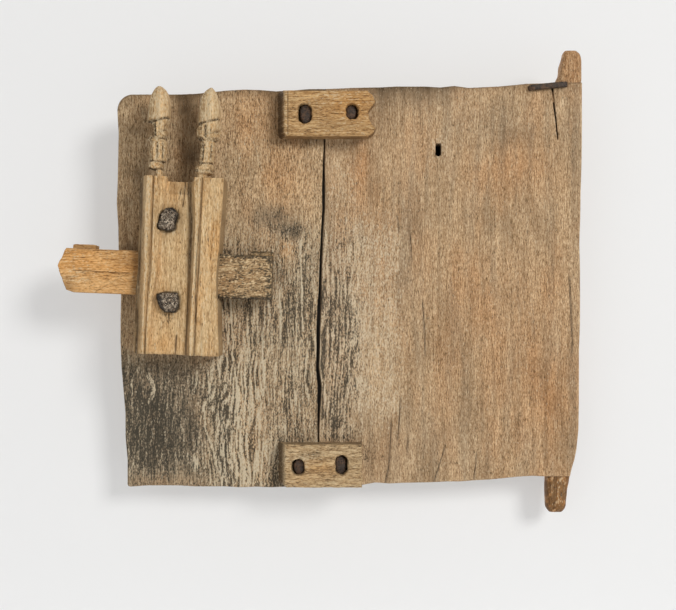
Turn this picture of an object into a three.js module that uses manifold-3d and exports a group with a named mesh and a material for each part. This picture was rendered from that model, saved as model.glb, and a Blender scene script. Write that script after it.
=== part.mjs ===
// A weathered wooden door leaf of two planks, with pivot horns, cleats, iron cramps and a carved
// wooden lock. Sizes are in millimetres. X runs to the right as seen from the front, the front
// faces -Y and Z is up. The origin is the middle of the lower pivot's tip.

import * as THREE from 'three';
import { mergeVertices } from 'three/addons/utils/BufferGeometryUtils.js';
import Module from 'manifold-3d';

const wasm = await Module();
wasm.setup();

// Gaps between pieces: ones that bear on each other, and ones that slide past each other.
const FIT = 0.3;
const SLIDE = 0.6;

// The leaf, both planks together. Distances along X are from the pivot axis. The top edge falls
// from the stile to the left corner, and the bottom edge from the lower horn to the left corner.
const LEAF = {
  thick: 34,
  width: 572,
  taper: 13.6,
  height: 561,
  topFallToSplit: 8,
  topFallToLeft: 15.5,
  bottomFallToSplit: 13.1,
  bottomFallToLeft: 13.7,
  stileTop: 33.2,
  stileBottom: 28.6,
  topCorner: 20,
  bottomCorner: 5,
  arris: 2.5,
};
const FRONT = -LEAF.thick / 2;
const BACK = LEAF.thick / 2;

// The split between the planks. It leans to the left as it goes back, so nothing shows through.
const SPLIT = { fromPivot: 302, drift: 8, lean: 10, arris: 0.4 };

// How far the split wanders to the right, and how wide it gapes, at even steps from top to bottom.
const SPLIT_WANDER = [
  0.4, 0.6, 0.9, 0.9, 0.6, 0.8, 1.3, 0, -0.9, -1.5, -1.8, -2.4, -3.2, -3, -3.4, -0.3, -0.7, -1.3,
  -0.7, -0.2, 0.3,
];
const SPLIT_GAPE = [
  1.3, 1.3, 1.3, 1.6, 2.3, 3.8, 3.2, 2.6, 2.7, 2.9, 3.1, 4.5, 4.7, 4, 3.9, 5.1, 3.4, 1.9, 1.6,
  1.5, 1.3,
];

// How far each worn edge stands out from its straight line, at even steps along it. The edges
// are followed anticlockwise as seen from the front.
const WORN = {
  leftPlankBottom: [-0.6, -1.9, -1.9, -1.8, -0.5, -0.4, -0.4, 0.9, 0.1, 1, 0.1, 0.5, -0.1],
  leftPlankTop: [-0.5, -0.1, -1.2, -1.7, 0.6, 1.9, 1.4, -0.1, -1.7, -2, -1.4, -0.8, -0.2],
  leftPlankSide: [
    0.2, -0.5, 0.8, 2.3, 4.4, 3.3, 3.7, 3, 2.2, 3.8, 4.6, 4.2, 2.5, 0.7, 1.5, -0.3, 0.6,
  ],
  rightPlankBottom: [
    0, -0.9, -1.9, 0.6, -2, 0.1, 0, 0.5, 0.9, 0.8, 1.5, 0.8, 0.7, -0.3, -1.4, -1.7, 0,
  ],
  rightPlankTop: [
    0, -0.7, -0.7, -2.1, -3.3, -3.6, -4.1, -1, -2.5, -0.8, -0.3, 0.3, -0.3, -0.1, 0, -0.4, -0.5,
  ],
  stile: [0, 0.3, 0, -0.3, 0.7, 0.4, 0.1, -1.2, -0.4, -0.2, 0.5, 0.6, 0.3, 0],
};

// The stile runs out to the lower pivot in a curve, given as its height above the horn's root and x.
const STILE_FOOT = [[61.1, 28.6], [48.1, 27.3], [35.1, 26], [22.1, 23.4], [9.1, 19.5]];

// The pivot horns. Each section is a share of the horn's length from its root, then its left,
// right and half depth. Below zero it lies inside the plank.
const LOWER_HORN = {
  length: 47.5,
  sections: [
    [-0.4, -12, 20, 15.5], [0, -13, 18, 13.5], [0.3, -13, 15.5, 12.8], [0.63, -13, 13, 12.3],
    [0.87, -12.2, 11.9, 11.5], [0.97, -9.5, 9.5, 9], [1, -7, 7, 7],
  ],
  corner: 6,
};
const UPPER_HORN = {
  length: 41.6,
  sections: [
    [-0.6, -16, 31, 15.5], [-0.24, -8.5, 32.4, 15], [0, -1.3, 33.2, 14], [0.25, 3.9, 33.2, 13],
    [0.53, 5.2, 33.2, 12.5], [0.81, 9.1, 32.5, 12], [1, 11, 27.3, 8.5],
  ],
  corner: 6,
};

// Heights of the leaf's corners, and of the split's ends.
const TOP_AT_SPLIT = LEAF.height - LEAF.topFallToSplit;
const TOP_LEFT = LEAF.height - LEAF.topFallToLeft;
const BOTTOM_AT_SPLIT = LOWER_HORN.length - LEAF.bottomFallToSplit;
const BOTTOM_LEFT = LOWER_HORN.length - LEAF.bottomFallToLeft;
const SPLIT_TOP = -SPLIT.fromPivot;
const SPLIT_BOTTOM = SPLIT_TOP - SPLIT.drift;

// The blind slot in the right plank, placed from the pivot and the top edge, and the crack that
// the staple holds shut.
const SLOT = { fromPivot: 154, below: 88, wide: 7, tall: 16, deep: 26 };
const CRACK = { x: -6, gape: 2.2, footX: 1, long: 75.4 };

// The two cleats across the split. The left end slopes, so its base reaches further out. Each
// reaches left and right of the split, and stands in from the leaf's edge.
const CLEAT = { thick: 27, slope: 9, corner: 4, arris: 2 };
const TOP_CLEAT = {
  left: 51.6,
  right: 55,
  inset: 7.6,
  tall: 58.7,
  // How far the broken end stands out, at even steps from bottom to top.
  end: [0, 8.5, 10, 6, 3, 1.4, 1.2, 2, 6, 10, 8.5, 5, 0],
};
const BOTTOM_CLEAT = {
  left: 42.9,
  right: 55.7,
  inset: 3.1,
  tall: 55.2,
  end: [0, 0.6, 0.9, 0.4, 0, -0.3, 0.1, 0.5, 0.7, 0.3, -0.2, 0, 0],
};

// The iron cramps that draw the planks and cleats together. Their legs come forward into oval
// pockets in the cleats, where the ends are hammered over. The pockets are placed from the split
// and from the cleat's middle, and a cramp's bar from the cleat's middle.
const CRAMP = { leg: 9, barTall: 12, barThick: 5, tailWide: 9.5, tailThick: 5, tailClear: 2 };
const POCKET = { deep: 14, corner: 6, inward: 1.5 };
const TOP_LEFT_POCKET = { fromSplit: -25.3, rise: 0, wide: 18.3, tall: 25.5 };
const TOP_RIGHT_POCKET = { fromSplit: 35.4, rise: 2.2, wide: 16.6, tall: 19.9 };
const BOTTOM_LEFT_POCKET = { fromSplit: -25.8, rise: -1.9, wide: 17, tall: 21 };
const BOTTOM_RIGHT_POCKET = { fromSplit: 29.8, rise: 0.8, wide: 16.6, tall: 25 };
const TOP_CRAMP_RISE = 3;
const BOTTOM_CRAMP_RISE = 0.9;

// The iron staple at the upper pivot.
const STAPLE = { x: -11.8, below: 5.6, long: 52.4, tall: 7.8, thick: 5.5, leg: 6, deep: 25, tilt: 6 };

// The lock. Its own frame is turned about Y at the bolt's centreline, so u runs along the bolt
// and w up the lock. It is placed from the leaf's left edge and the lower pivot's tip, and its
// depths are from the lock's back.
const LOCK = {
  inset: 85,
  boltHeight: 310,
  leanDegrees: 2.2,
  left: 51,
  right: 51,
  bottom: -101.5,
  top: 122,
  fieldTop: 116,
  side: 48,
  strip: 50,
  field: 50,
  rib: 58,
  dip: 56,
  ridge: 60,
};
const LOCK_BACK = FRONT - FIT;

// The lines carved down the lock's front, one row per height: the height, then how far the left
// side stands out and the lines' distances from it, then the same for the right side.
const CARVED_ROWS = [
  [111, 0.8, [2.6, 10.5, 17.7, 19.5, 33.9, 35], 3.2, [45.1, 36.1, 27.4, 25.4]],
  [61, -0.4, [2.5, 9, 16.7, 18.6, 26.7, 28], 1.7, [40.3, 31.3, 27.5, 24]],
  [3, -0.7, [2.3, 10, 14.8, 19, 25.2, 26.5], -1.3, [36.9, 28.5, 23.8, 21.1]],
  [-28, 0.6, [3.3, 11.4, 14.3, 17.7, 21.9, 23.2], -0.3, [37.4, 30.4, 26, 23.5]],
  [-33, 0.5, [3.4, 11.5, 14.4, 17.5, 21.8, 23.1], 1.8, [39.2, 32.2, 27.8, 25.3]],
  [-65, 0.5, [4.1, 11.7, 14.7, 16.4, 21.2, 22.5], 3, [40.5, 34.2, 29.2, 26.7]],
  [-97, 0.7, [3.1, 12, 15, 16.7, 19.1, 20.4], 5.1, [43, 36.5, 31.7, 28.4]],
].map(([w, out, left, outRight, right]) => ({ w, out, left, outRight, right }));

// The bolt, at the place the photograph shows, and the channel for it in the lock.
const BOLT = {
  tall: 56,
  thick: 34,
  right: 118,
  noseX: 155.3,
  noseZ: 5,
  shoulderX: 145,
  shoulderZ: 27.5,
  heelX: 143,
  heelZ: 25,
  arris: 2,
};
const LUG = { rise: 6, deep: 22, leftFrom: -138.4, leftTo: -108.3, rightFrom: 90 };
const KEYWAY = { from: -6, bottom: 0, tall: 16, deep: 18 };

// The iron tumblers that drop into the bolt, and where they stand.
const TUMBLER = {
  along: [-28, 28],
  pin: 6,
  long: 45,
  headWide: 12,
  headTall: 6,
  behind: 10,
  fall: 14,
  lift: 6,
};
const THROW = 38;

// The iron spikes that hold the lock to the plank.
const SPIKE = { shank: 9, tail: 22, tailThick: 4.5, head: 9 };
const UPPER_SPIKE = {
  u: -13.3,
  w: 68.5,
  // The hammered head's outline about the shank, anticlockwise.
  outline: [
    [-12, -9], [-6, -13.5], [4, -13], [10, -9], [12, -1], [11, 8], [5, 13.5], [-4, 13], [-10, 9],
    [-13, 0],
  ],
};
const LOWER_SPIKE = {
  u: -9,
  w: -37.5,
  outline: [
    [-8, -11], [4, -12], [11, -9], [12, 3], [11, 12], [2, 13.5], [-8, 13], [-14, 11], [-12, 3],
    [-11, -5],
  ],
};

// The two carved figures on the lock. Each section is its height above the lock's top, then its
// left and right, and the depths of its back and front.
const FIGURE_CORNER = 3.5;
const LEFT_FIGURE = [
  [-5, -32, -22, 30, 52], [7.5, -32, -22, 30, 52], [10, -40, -22.5, 27, 56], [17, -41, -22.3, 27, 56],
  [19, -36, -20, 31, 53], [33, -35.7, -19.3, 31, 54], [43, -35, -20, 31, 54], [45.5, -42.5, -22, 28, 56],
  [48, -41, -22.4, 28, 56], [50, -33, -22, 31, 54], [61, -37, -19, 29, 56], [69, -39, -18, 27, 57],
  [71.5, -46, -18, 24, 58], [79, -46.5, -17.5, 24, 58], [90, -44, -20, 27, 56], [101, -39.5, -25, 33, 51],
  [114, -34, -31, 39.5, 43.5],
];
const RIGHT_FIGURE = [
  [-5, 23.4, 36, 30, 52], [7.5, 23.4, 36, 30, 52], [10, 17, 40.8, 27, 56], [17.5, 16.8, 41, 27, 56],
  [19.5, 22, 42, 31, 53], [35, 22.3, 42.4, 31, 54], [47, 22, 42, 31, 54], [49.5, 18, 47, 28, 56],
  [61, 17.5, 47.7, 28, 56], [70, 18, 47, 27, 57], [72, 17, 48, 24, 58], [80, 17.5, 46.6, 24, 58],
  [91, 19.5, 43, 27, 56], [103, 23.5, 37, 33, 51], [116, 28, 31, 39.5, 43.5],
];

const OLD_WOOD = { roughness: 0.85, metalness: 0 };
const OLD_IRON = { roughness: 0.6, metalness: 0.7 };
const FINISHES = {
  leftPlank: new THREE.MeshStandardMaterial({ color: 0x8a7a62, ...OLD_WOOD }),
  rightPlank: new THREE.MeshStandardMaterial({ color: 0xb2916c, ...OLD_WOOD }),
  cleat: new THREE.MeshStandardMaterial({ color: 0xa17e54, ...OLD_WOOD }),
  lock: new THREE.MeshStandardMaterial({ color: 0xba9d75, ...OLD_WOOD }),
  bolt: new THREE.MeshStandardMaterial({ color: 0xc69d6a, ...OLD_WOOD }),
  iron: new THREE.MeshStandardMaterial({ color: 0x504337, ...OLD_IRON }),
};

/** Turns a closed geometry into a solid that can be joined and cut. */
function solidOf(geometry) {
  const bare = geometry.clone();
  for (const name of Object.keys(bare.attributes)) {
    if (name !== 'position') {
      bare.deleteAttribute(name);
    }
  }
  const merged = mergeVertices(bare, 1e-4);
  return new wasm.Manifold(new wasm.Mesh({
    numProp: 3,
    vertProperties: new Float32Array(merged.attributes.position.array),
    triVerts: new Uint32Array(merged.index.array),
  }));
}

/** Turns a solid back into a geometry. */
function geometryOf(solid) {
  const mesh = solid.getMesh();
  const geometry = new THREE.BufferGeometry();
  geometry.setAttribute('position', new THREE.BufferAttribute(new Float32Array(mesh.vertProperties), 3));
  geometry.setIndex(new THREE.BufferAttribute(new Uint32Array(mesh.triVerts), 1));
  geometry.computeVertexNormals();
  return geometry;
}

/** Makes a named mesh from a solid. */
function pieceOf(name, solid, material) {
  const mesh = new THREE.Mesh(geometryOf(solid), material);
  mesh.name = name;
  return mesh;
}

/** Splits a closed ring of points into triangles that run the same way round as the ring. */
function capOf(ring) {
  const size = new THREE.Box3().setFromPoints(ring).getSize(new THREE.Vector3());
  const axes = ['x', 'y', 'z'].sort((a, b) => size[b] - size[a]);
  const flat = ring.map((point) => new THREE.Vector2(point[axes[0]], point[axes[1]]));
  const faces = THREE.ShapeUtils.triangulateShape(flat, []);
  const covered = faces.reduce((sum, face) => sum + THREE.ShapeUtils.area(face.map((i) => flat[i])), 0);
  const follows = covered * THREE.ShapeUtils.area(flat) > 0;
  return follows ? faces : faces.map(([a, b, c]) => [a, c, b]);
}

/** Carries rings with equal point counts into one closed solid. */
function loft(rings) {
  const count = rings[0].length;
  const points = rings.flat();
  const faces = [];
  for (let ring = 0; ring + 1 < rings.length; ring += 1) {
    for (let i = 0; i < count; i += 1) {
      const a = ring * count + i;
      const b = ring * count + ((i + 1) % count);
      faces.push([a, b, b + count], [a, b + count, a + count]);
    }
  }
  const last = (rings.length - 1) * count;
  faces.push(...capOf(rings[0]).map(([a, b, c]) => [a, c, b]));
  faces.push(...capOf(rings[rings.length - 1]).map(([a, b, c]) => [last + a, last + b, last + c]));
  const volume = faces.reduce((sum, [a, b, c]) => (
    sum + points[a].dot(new THREE.Vector3().crossVectors(points[b], points[c]))
  ), 0);
  const outward = volume < 0 ? faces.map(([a, b, c]) => [a, c, b]) : faces;
  const geometry = new THREE.BufferGeometry().setFromPoints(points);
  geometry.setIndex(outward.flat());
  return solidOf(geometry);
}

/** Makes a box from its lowest and highest corner. */
function box(low, high) {
  const geometry = new THREE.BoxGeometry(high[0] - low[0], high[1] - low[1], high[2] - low[2]);
  geometry.translate((low[0] + high[0]) / 2, (low[1] + high[1]) / 2, (low[2] + high[2]) / 2);
  return solidOf(geometry);
}

/** Moves a solid by a matrix. */
function placed(solid, matrix) {
  return solidOf(geometryOf(solid).applyMatrix4(matrix));
}

/** Joins any number of solids. */
function joined(...solids) {
  return solids.reduce((whole, solid) => whole.add(solid));
}

/** Cuts any number of solids out of the first. */
function cut(solid, ...cutters) {
  return cutters.reduce((whole, cutter) => whole.subtract(cutter), solid);
}

/** Gives the points of an edge, worn in and out of its straight line. The end isn't included. */
function wornEdge(from, to, wear, arris = LEAF.arris) {
  const along = new THREE.Vector2().subVectors(to, from);
  const outward = new THREE.Vector2(along.y, -along.x).normalize();
  return wear.slice(0, -1).map((out, i) => {
    const point = from.clone().addScaledVector(along, i / (wear.length - 1));
    point.addScaledVector(outward, out);
    return { x: point.x, z: point.y, arris };
  });
}

/** Gives a rounded corner's inner points about its centre, on one quarter counted from +X. */
function roundCorner(centreX, centreZ, radius, quarter) {
  return [0.25, 0.5, 0.75].map((share) => {
    const angle = (quarter + share) * Math.PI / 2;
    return {
      x: centreX + radius * Math.cos(angle),
      z: centreZ + radius * Math.sin(angle),
      arris: LEAF.arris,
    };
  });
}

/** Makes a slab from a front outline, with its arrises worn and the split's points leaning. */
function plankSlab(outline) {
  const count = outline.length;
  const outward = outline.map((point, i) => {
    const before = outline[(i + count - 1) % count];
    const after = outline[(i + 1) % count];
    return new THREE.Vector2(after.z - before.z, before.x - after.x).normalize();
  });
  const depths = [
    { y: FRONT, worn: 1 },
    { y: FRONT + LEAF.arris, worn: 0 },
    { y: BACK - LEAF.arris, worn: 0 },
    { y: BACK, worn: 1 },
  ];
  return loft(depths.map(({ y, worn }) => outline.map((point, i) => {
    const inset = worn * point.arris;
    const lean = point.split ? SPLIT.lean * (y - FRONT) / LEAF.thick : 0;
    return new THREE.Vector3(point.x - outward[i].x * inset - lean, y, point.z - outward[i].y * inset);
  })));
}

/** Gives one side of the split from top to bottom, as the front shows it. */
function splitSide(side) {
  const steps = SPLIT_WANDER.length - 1;
  return SPLIT_WANDER.map((wander, i) => ({
    x: THREE.MathUtils.lerp(SPLIT_TOP, SPLIT_BOTTOM, i / steps) + wander + side * SPLIT_GAPE[i] / 2,
    z: THREE.MathUtils.lerp(TOP_AT_SPLIT, BOTTOM_AT_SPLIT, i / steps),
    arris: SPLIT.arris,
    split: true,
  }));
}

/** Gives a ring of twelve points at one height: a rectangle with rounded corners. */
function pillarRing(height, left, right, back, front, corner) {
  const low = Math.min(back, front);
  const high = Math.max(back, front);
  const radius = Math.min(corner, 0.45 * (right - left), 0.45 * (high - low));
  const corners = [[right, high], [left, high], [left, low], [right, low]];
  return corners.flatMap(([x, y], quarter) => {
    const centreX = x === right ? x - radius : x + radius;
    const centreY = y === high ? y - radius : y + radius;
    return [0, 0.5, 1].map((share) => {
      const angle = (quarter + share) * Math.PI / 2;
      const across = centreX + radius * Math.cos(angle);
      return new THREE.Vector3(across, centreY + radius * Math.sin(angle), height);
    });
  });
}

/** Makes a pivot horn that grows out of the plank at a root height. */
function horn({ sections, corner }, root, tip) {
  return loft(sections.map(([share, left, right, depth]) => (
    pillarRing(THREE.MathUtils.lerp(root, tip, share), left, right, depth, -depth, corner)
  )));
}

/** Makes an upright slot through a range of depths, with rounded corners. */
function uprightSlot({ x, z, wide, tall }, corner, yFrom, yTo) {
  const ring = pillarRing(0, -wide / 2, wide / 2, -tall / 2, tall / 2, corner);
  return loft([yFrom, yTo].map((y) => ring.map((point) => new THREE.Vector3(x + point.x, y, z + point.y))));
}

/** Places a cleat: its ends, its bottom and its middle height. */
function cleatPlace(cleat, splitX, bottom) {
  return {
    ...cleat,
    from: splitX - cleat.left,
    to: splitX + cleat.right,
    bottom,
    middle: bottom + cleat.tall / 2,
  };
}

/** Places a cramp: its bar's height, its pockets and the middle of each leg. */
function crampPlace(cleat, splitX, rise, pockets) {
  const z = cleat.middle + rise;
  const places = pockets.map((pocket) => ({
    ...pocket,
    x: splitX + pocket.fromSplit,
    z: cleat.middle + pocket.rise,
  }));
  const legs = places.map((pocket) => ({ x: pocket.x - Math.sign(pocket.fromSplit) * POCKET.inward, z }));
  return { z, pockets: places, legs };
}

/** Gives what a cramp needs cut out of the planks, and out of its cleat. */
function crampRoom({ z: barZ, pockets, legs }) {
  const half = CRAMP.leg / 2 + FIT;
  const cleatFront = FRONT - FIT - CLEAT.thick;
  const holes = legs.map(({ x, z }) => box([x - half, cleatFront, z - half], [x + half, BACK, z + half]));
  const bar = box(
    [legs[0].x - half, BACK - CRAMP.barThick - 2 * FIT, barZ - CRAMP.barTall / 2 - FIT],
    [legs[1].x + half, BACK + 1, barZ + CRAMP.barTall / 2 + FIT],
  );
  const ovals = pockets.map((pocket) => (
    uprightSlot(pocket, POCKET.corner, cleatFront - 1, cleatFront + POCKET.deep)
  ));
  return { planks: [...holes, bar], cleat: [...holes, ...ovals] };
}

/** Makes a cramp: a bar let into the back, two legs, and their ends hammered over in front. */
function crampSolid({ z: barZ, pockets, legs }) {
  const half = CRAMP.leg / 2;
  const floor = FRONT - FIT - CLEAT.thick + POCKET.deep;
  const barBack = BACK - FIT;
  const bar = box(
    [legs[0].x - half, barBack - CRAMP.barThick, barZ - CRAMP.barTall / 2],
    [legs[1].x + half, barBack, barZ + CRAMP.barTall / 2],
  );
  const shanks = legs.map(({ x, z }) => (
    box([x - half, floor - FIT - CRAMP.tailThick / 2, z - half], [x + half, barBack - 1, z + half])
  ));
  const tails = pockets.map((pocket, i) => uprightSlot({
    x: legs[i].x,
    z: pocket.z,
    wide: CRAMP.tailWide,
    tall: pocket.tall - 2 * CRAMP.tailClear,
  }, CRAMP.tailClear, floor - FIT - CRAMP.tailThick, floor - FIT));
  return joined(bar, ...shanks, ...tails);
}

/** Makes a cleat with one sloping end and one broken end. */
function cleatSolid({ from, to, bottom, tall, end }, cramp) {
  const back = FRONT - FIT;
  const front = back - CLEAT.thick;
  const ringAt = (y, slope, arris) => {
    const low = bottom + arris;
    const high = bottom + tall - arris;
    const brokenEnd = end.map((out, i) => (
      new THREE.Vector3(to - arris + out, y, THREE.MathUtils.lerp(low, high, i / (end.length - 1)))
    ));
    const start = from + arris - slope;
    return [
      ...brokenEnd,
      new THREE.Vector3(start, y, high),
      new THREE.Vector3(start, y, low + CLEAT.corner),
      new THREE.Vector3(start + CLEAT.corner, y, low),
    ];
  };
  const block = loft([
    ringAt(back, CLEAT.slope, 0),
    ringAt(front + CLEAT.arris, CLEAT.slope * CLEAT.arris / CLEAT.thick, 0),
    ringAt(front, 0, CLEAT.arris),
  ]);
  return cut(block, ...crampRoom(cramp).cleat);
}

/** Gives the staple's matrix, and its leg places along it. */
function stapleFrame() {
  const matrix = new THREE.Matrix4().makeRotationY(THREE.MathUtils.degToRad(-STAPLE.tilt));
  matrix.setPosition(STAPLE.x, 0, LEAF.height - STAPLE.below);
  const reach = (STAPLE.long - STAPLE.leg) / 2;
  return { matrix, legs: [-reach, reach] };
}

/** Makes the staple. */
function stapleSolid() {
  const { matrix, legs } = stapleFrame();
  const half = STAPLE.leg / 2;
  const front = FRONT - FIT - STAPLE.thick;
  const bar = box(
    [-STAPLE.long / 2, front, -STAPLE.tall / 2],
    [STAPLE.long / 2, FRONT - FIT, STAPLE.tall / 2],
  );
  const prongs = legs.map((x) => (
    box([x - half, FRONT - FIT - STAPLE.thick / 2, -half], [x + half, FRONT + STAPLE.deep, half])
  ));
  return placed(joined(bar, ...prongs), matrix);
}

/** Gives the holes for the staple's legs. */
function stapleRoom() {
  const { matrix, legs } = stapleFrame();
  const half = STAPLE.leg / 2 + FIT;
  return legs.map((x) => (
    placed(box([x - half, FRONT - 1, -half], [x + half, FRONT + STAPLE.deep + FIT, half]), matrix)
  ));
}

/** Places the lock's own frame in the door's. */
function lockMatrix() {
  const matrix = new THREE.Matrix4().makeRotationY(THREE.MathUtils.degToRad(LOCK.leanDegrees));
  return matrix.setPosition(LOCK.inset - LEAF.width, 0, LOCK.boltHeight);
}

/** Gives one ring of the lock's body at a height, from a row of carved lines. */
function lockRing({ out, left, outRight, right }, height) {
  const u0 = -LOCK.left - out;
  const u1 = LOCK.right + outRight;
  const [strip, ridgeFrom, ridgeTo, ribFrom, ribTo, fieldFrom] = left.map((step) => u0 + step);
  const [fieldTo, slopeTo, rightRidgeTo, bandFrom] = right.map((step) => u1 - step);
  const profile = [
    [u0, 0], [u0, LOCK.side], [strip, LOCK.strip], [ridgeFrom, LOCK.ridge], [ridgeTo, LOCK.ridge],
    [(ridgeTo + ribFrom) / 2, LOCK.dip], [ribFrom, LOCK.rib], [ribTo, LOCK.rib], [fieldFrom, LOCK.field],
    [fieldTo, LOCK.field], [slopeTo, LOCK.ridge], [rightRidgeTo, LOCK.ridge],
    [(rightRidgeTo + bandFrom) / 2, LOCK.dip], [bandFrom, LOCK.rib], [u1, LOCK.rib], [u1, 0],
  ];
  return profile.map(([u, depth]) => new THREE.Vector3(u, LOCK_BACK - depth, height));
}

/** Makes a figure from its sections. */
function figureSolid(sections) {
  return loft(sections.map(([height, left, right, back, front]) => (
    pillarRing(LOCK.top + height, left, right, LOCK_BACK - back, LOCK_BACK - front, FIGURE_CORNER)
  )));
}

/** Gives the depths of the bolt's back and front. */
function boltDepths() {
  const back = FRONT - SLIDE;
  return { back, front: back - BOLT.thick };
}

/** Gives the depth of the tumblers' middle. */
function tumblerDepth() {
  return FRONT - TUMBLER.behind;
}

/** Gives the height of a tumbler's foot, resting on the bolt. */
function tumblerFoot() {
  return BOLT.tall / 2 + FIT;
}

/** Gives the rooms for one tumbler in the lock, both open at the back. */
function tumblerRoom(u) {
  const y = tumblerDepth();
  const foot = tumblerFoot();
  const pinHalf = TUMBLER.pin / 2 + FIT;
  const headHalf = TUMBLER.headWide / 2 + SLIDE;
  const ledge = foot + TUMBLER.long - TUMBLER.fall - FIT;
  const roof = foot + TUMBLER.long + TUMBLER.headTall + TUMBLER.lift + SLIDE;
  const pinRoom = box([u - pinHalf, y - pinHalf, 0], [u + pinHalf, LOCK_BACK + 1, roof - 1]);
  const headRoom = box([u - headHalf, y - headHalf, ledge], [u + headHalf, LOCK_BACK + 1, roof]);
  return [pinRoom, headRoom];
}

/** Makes a tumbler: a pin with a square head. */
function tumblerSolid(u) {
  const y = tumblerDepth();
  const foot = tumblerFoot();
  const half = TUMBLER.headWide / 2;
  const pin = new THREE.CylinderGeometry(TUMBLER.pin / 2, TUMBLER.pin / 2, TUMBLER.long + 1, 12);
  pin.rotateX(Math.PI / 2);
  pin.translate(u, y, foot + (TUMBLER.long + 1) / 2);
  const headFoot = foot + TUMBLER.long;
  const head = box([u - half, y - half, headFoot], [u + half, FRONT - SLIDE, headFoot + TUMBLER.headTall]);
  return joined(solidOf(pin), head);
}

/** Makes the lock's body with its two figures, in the lock's frame. */
function lockSolid() {
  const { front } = boltDepths();
  const top = lockRing(CARVED_ROWS[0], LOCK.top);
  const rows = CARVED_ROWS.map((row) => lockRing(row, row.w));
  const bottom = lockRing(CARVED_ROWS[CARVED_ROWS.length - 1], LOCK.bottom);
  const block = loft([top, ...rows, bottom]);
  const whole = joined(block, figureSolid(LEFT_FIGURE), figureSolid(RIGHT_FIGURE));
  const { left, out, right, outRight } = CARVED_ROWS[0];
  const channelHalf = BOLT.tall / 2 + SLIDE;
  const channel = box(
    [-2 * LOCK.left, front - SLIDE, -channelHalf],
    [2 * LOCK.right, LOCK_BACK + 1, channelHalf],
  );
  const notch = box(
    [-LOCK.left - out + left[4], LOCK_BACK - LOCK.ridge - 1, LOCK.fieldTop],
    [LOCK.right + outRight - right[1], LOCK_BACK + 1, LOCK.top + 1],
  );
  const rooms = TUMBLER.along.flatMap(tumblerRoom);
  const spikes = [UPPER_SPIKE, LOWER_SPIKE].flatMap((spike) => [spikeHole(spike), spikeDent(spike)]);
  return cut(whole, channel, notch, ...rooms, ...spikes);
}

/** Makes the bolt, in the lock's frame. */
function boltSolid() {
  const { back, front } = boltDepths();
  const half = BOLT.tall / 2;
  const outline = [
    [BOLT.right, -half], [BOLT.right, half], [-BOLT.shoulderX, BOLT.shoulderZ], [-BOLT.noseX, BOLT.noseZ],
    [-BOLT.heelX, -BOLT.heelZ], [-BOLT.heelX + 10, -half],
  ];
  const ringAt = (y, inset) => outline.map(([u, w]) => (
    new THREE.Vector3(u - Math.sign(u) * inset, y, w - Math.sign(w) * inset)
  ));
  const body = loft([
    ringAt(back, 0), ringAt(front + BOLT.arris, 0), ringAt(front, BOLT.arris),
  ]);
  const lug = (from, to) => box([from, back - LUG.deep, half - 4], [to, back, half + LUG.rise]);
  const keyway = box(
    [KEYWAY.from, back - KEYWAY.deep, KEYWAY.bottom],
    [BOLT.right + 1, back + 1, KEYWAY.bottom + KEYWAY.tall],
  );
  const pinHoles = TUMBLER.along.map((u) => {
    const radius = TUMBLER.pin / 2 + SLIDE;
    const hole = new THREE.CylinderGeometry(radius, radius, half, 12);
    hole.rotateX(Math.PI / 2);
    hole.translate(u + THROW, tumblerDepth(), KEYWAY.bottom + KEYWAY.tall - 1 + half / 2);
    return solidOf(hole);
  });
  return cut(
    joined(body, lug(LUG.leftFrom, LUG.leftTo), lug(LUG.rightFrom, BOLT.right)),
    keyway,
    ...pinHoles,
  );
}

/** Gives a spike's hole, through the lock and the plank. */
function spikeHole({ u, w }) {
  const half = SPIKE.shank / 2 + FIT;
  return box([u - half, LOCK_BACK - 2 * LOCK.ridge, w - half], [u + half, BACK + 1, w + half]);
}

/** Gives the dent that a spike's head has beaten into the carved front. */
function spikeDent({ u, w, outline }) {
  const reach = Math.min(...outline.map(([du, dw]) => Math.hypot(du, dw)));
  const scale = 1 + 1.5 * FIT / reach;
  return loft([LOCK_BACK - LOCK.field, LOCK_BACK - 2 * LOCK.ridge].map((y) => (
    outline.map(([du, dw]) => new THREE.Vector3(u + du * scale, y, w + dw * scale))
  )));
}

/** Gives the room for a spike's clenched end in the plank's back. */
function spikeRecess({ u, w }) {
  const half = SPIKE.shank / 2 + FIT;
  const depth = SPIKE.tailThick + 2 * FIT;
  const end = w - SPIKE.shank / 2 + SPIKE.tail + FIT;
  return box([u - half, BACK - depth, w - half], [u + half, BACK + 1, end]);
}

/** Makes a spike: a hammered head, a square shank, and its end clenched upwards at the back. */
function spikeSolid(spike) {
  const { u, w, outline } = spike;
  const half = SPIKE.shank / 2;
  const seat = LOCK_BACK - LOCK.field - FIT;
  const ringAt = (y, scale) => outline.map(([du, dw]) => (
    new THREE.Vector3(u + du * scale, y, w + dw * scale)
  ));
  const head = loft([
    ringAt(seat, 0.86), ringAt(seat - SPIKE.head * 0.4, 1), ringAt(seat - SPIKE.head * 0.8, 0.92),
    ringAt(seat - SPIKE.head, 0.7),
  ]);
  const tailBack = BACK - FIT;
  const shank = box([u - half, seat - 1, w - half], [u + half, tailBack, w + half]);
  const tail = box(
    [u - half, tailBack - SPIKE.tailThick, w - half],
    [u + half, tailBack, w - half + SPIKE.tail],
  );
  return joined(head, shank, tail);
}

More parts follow.
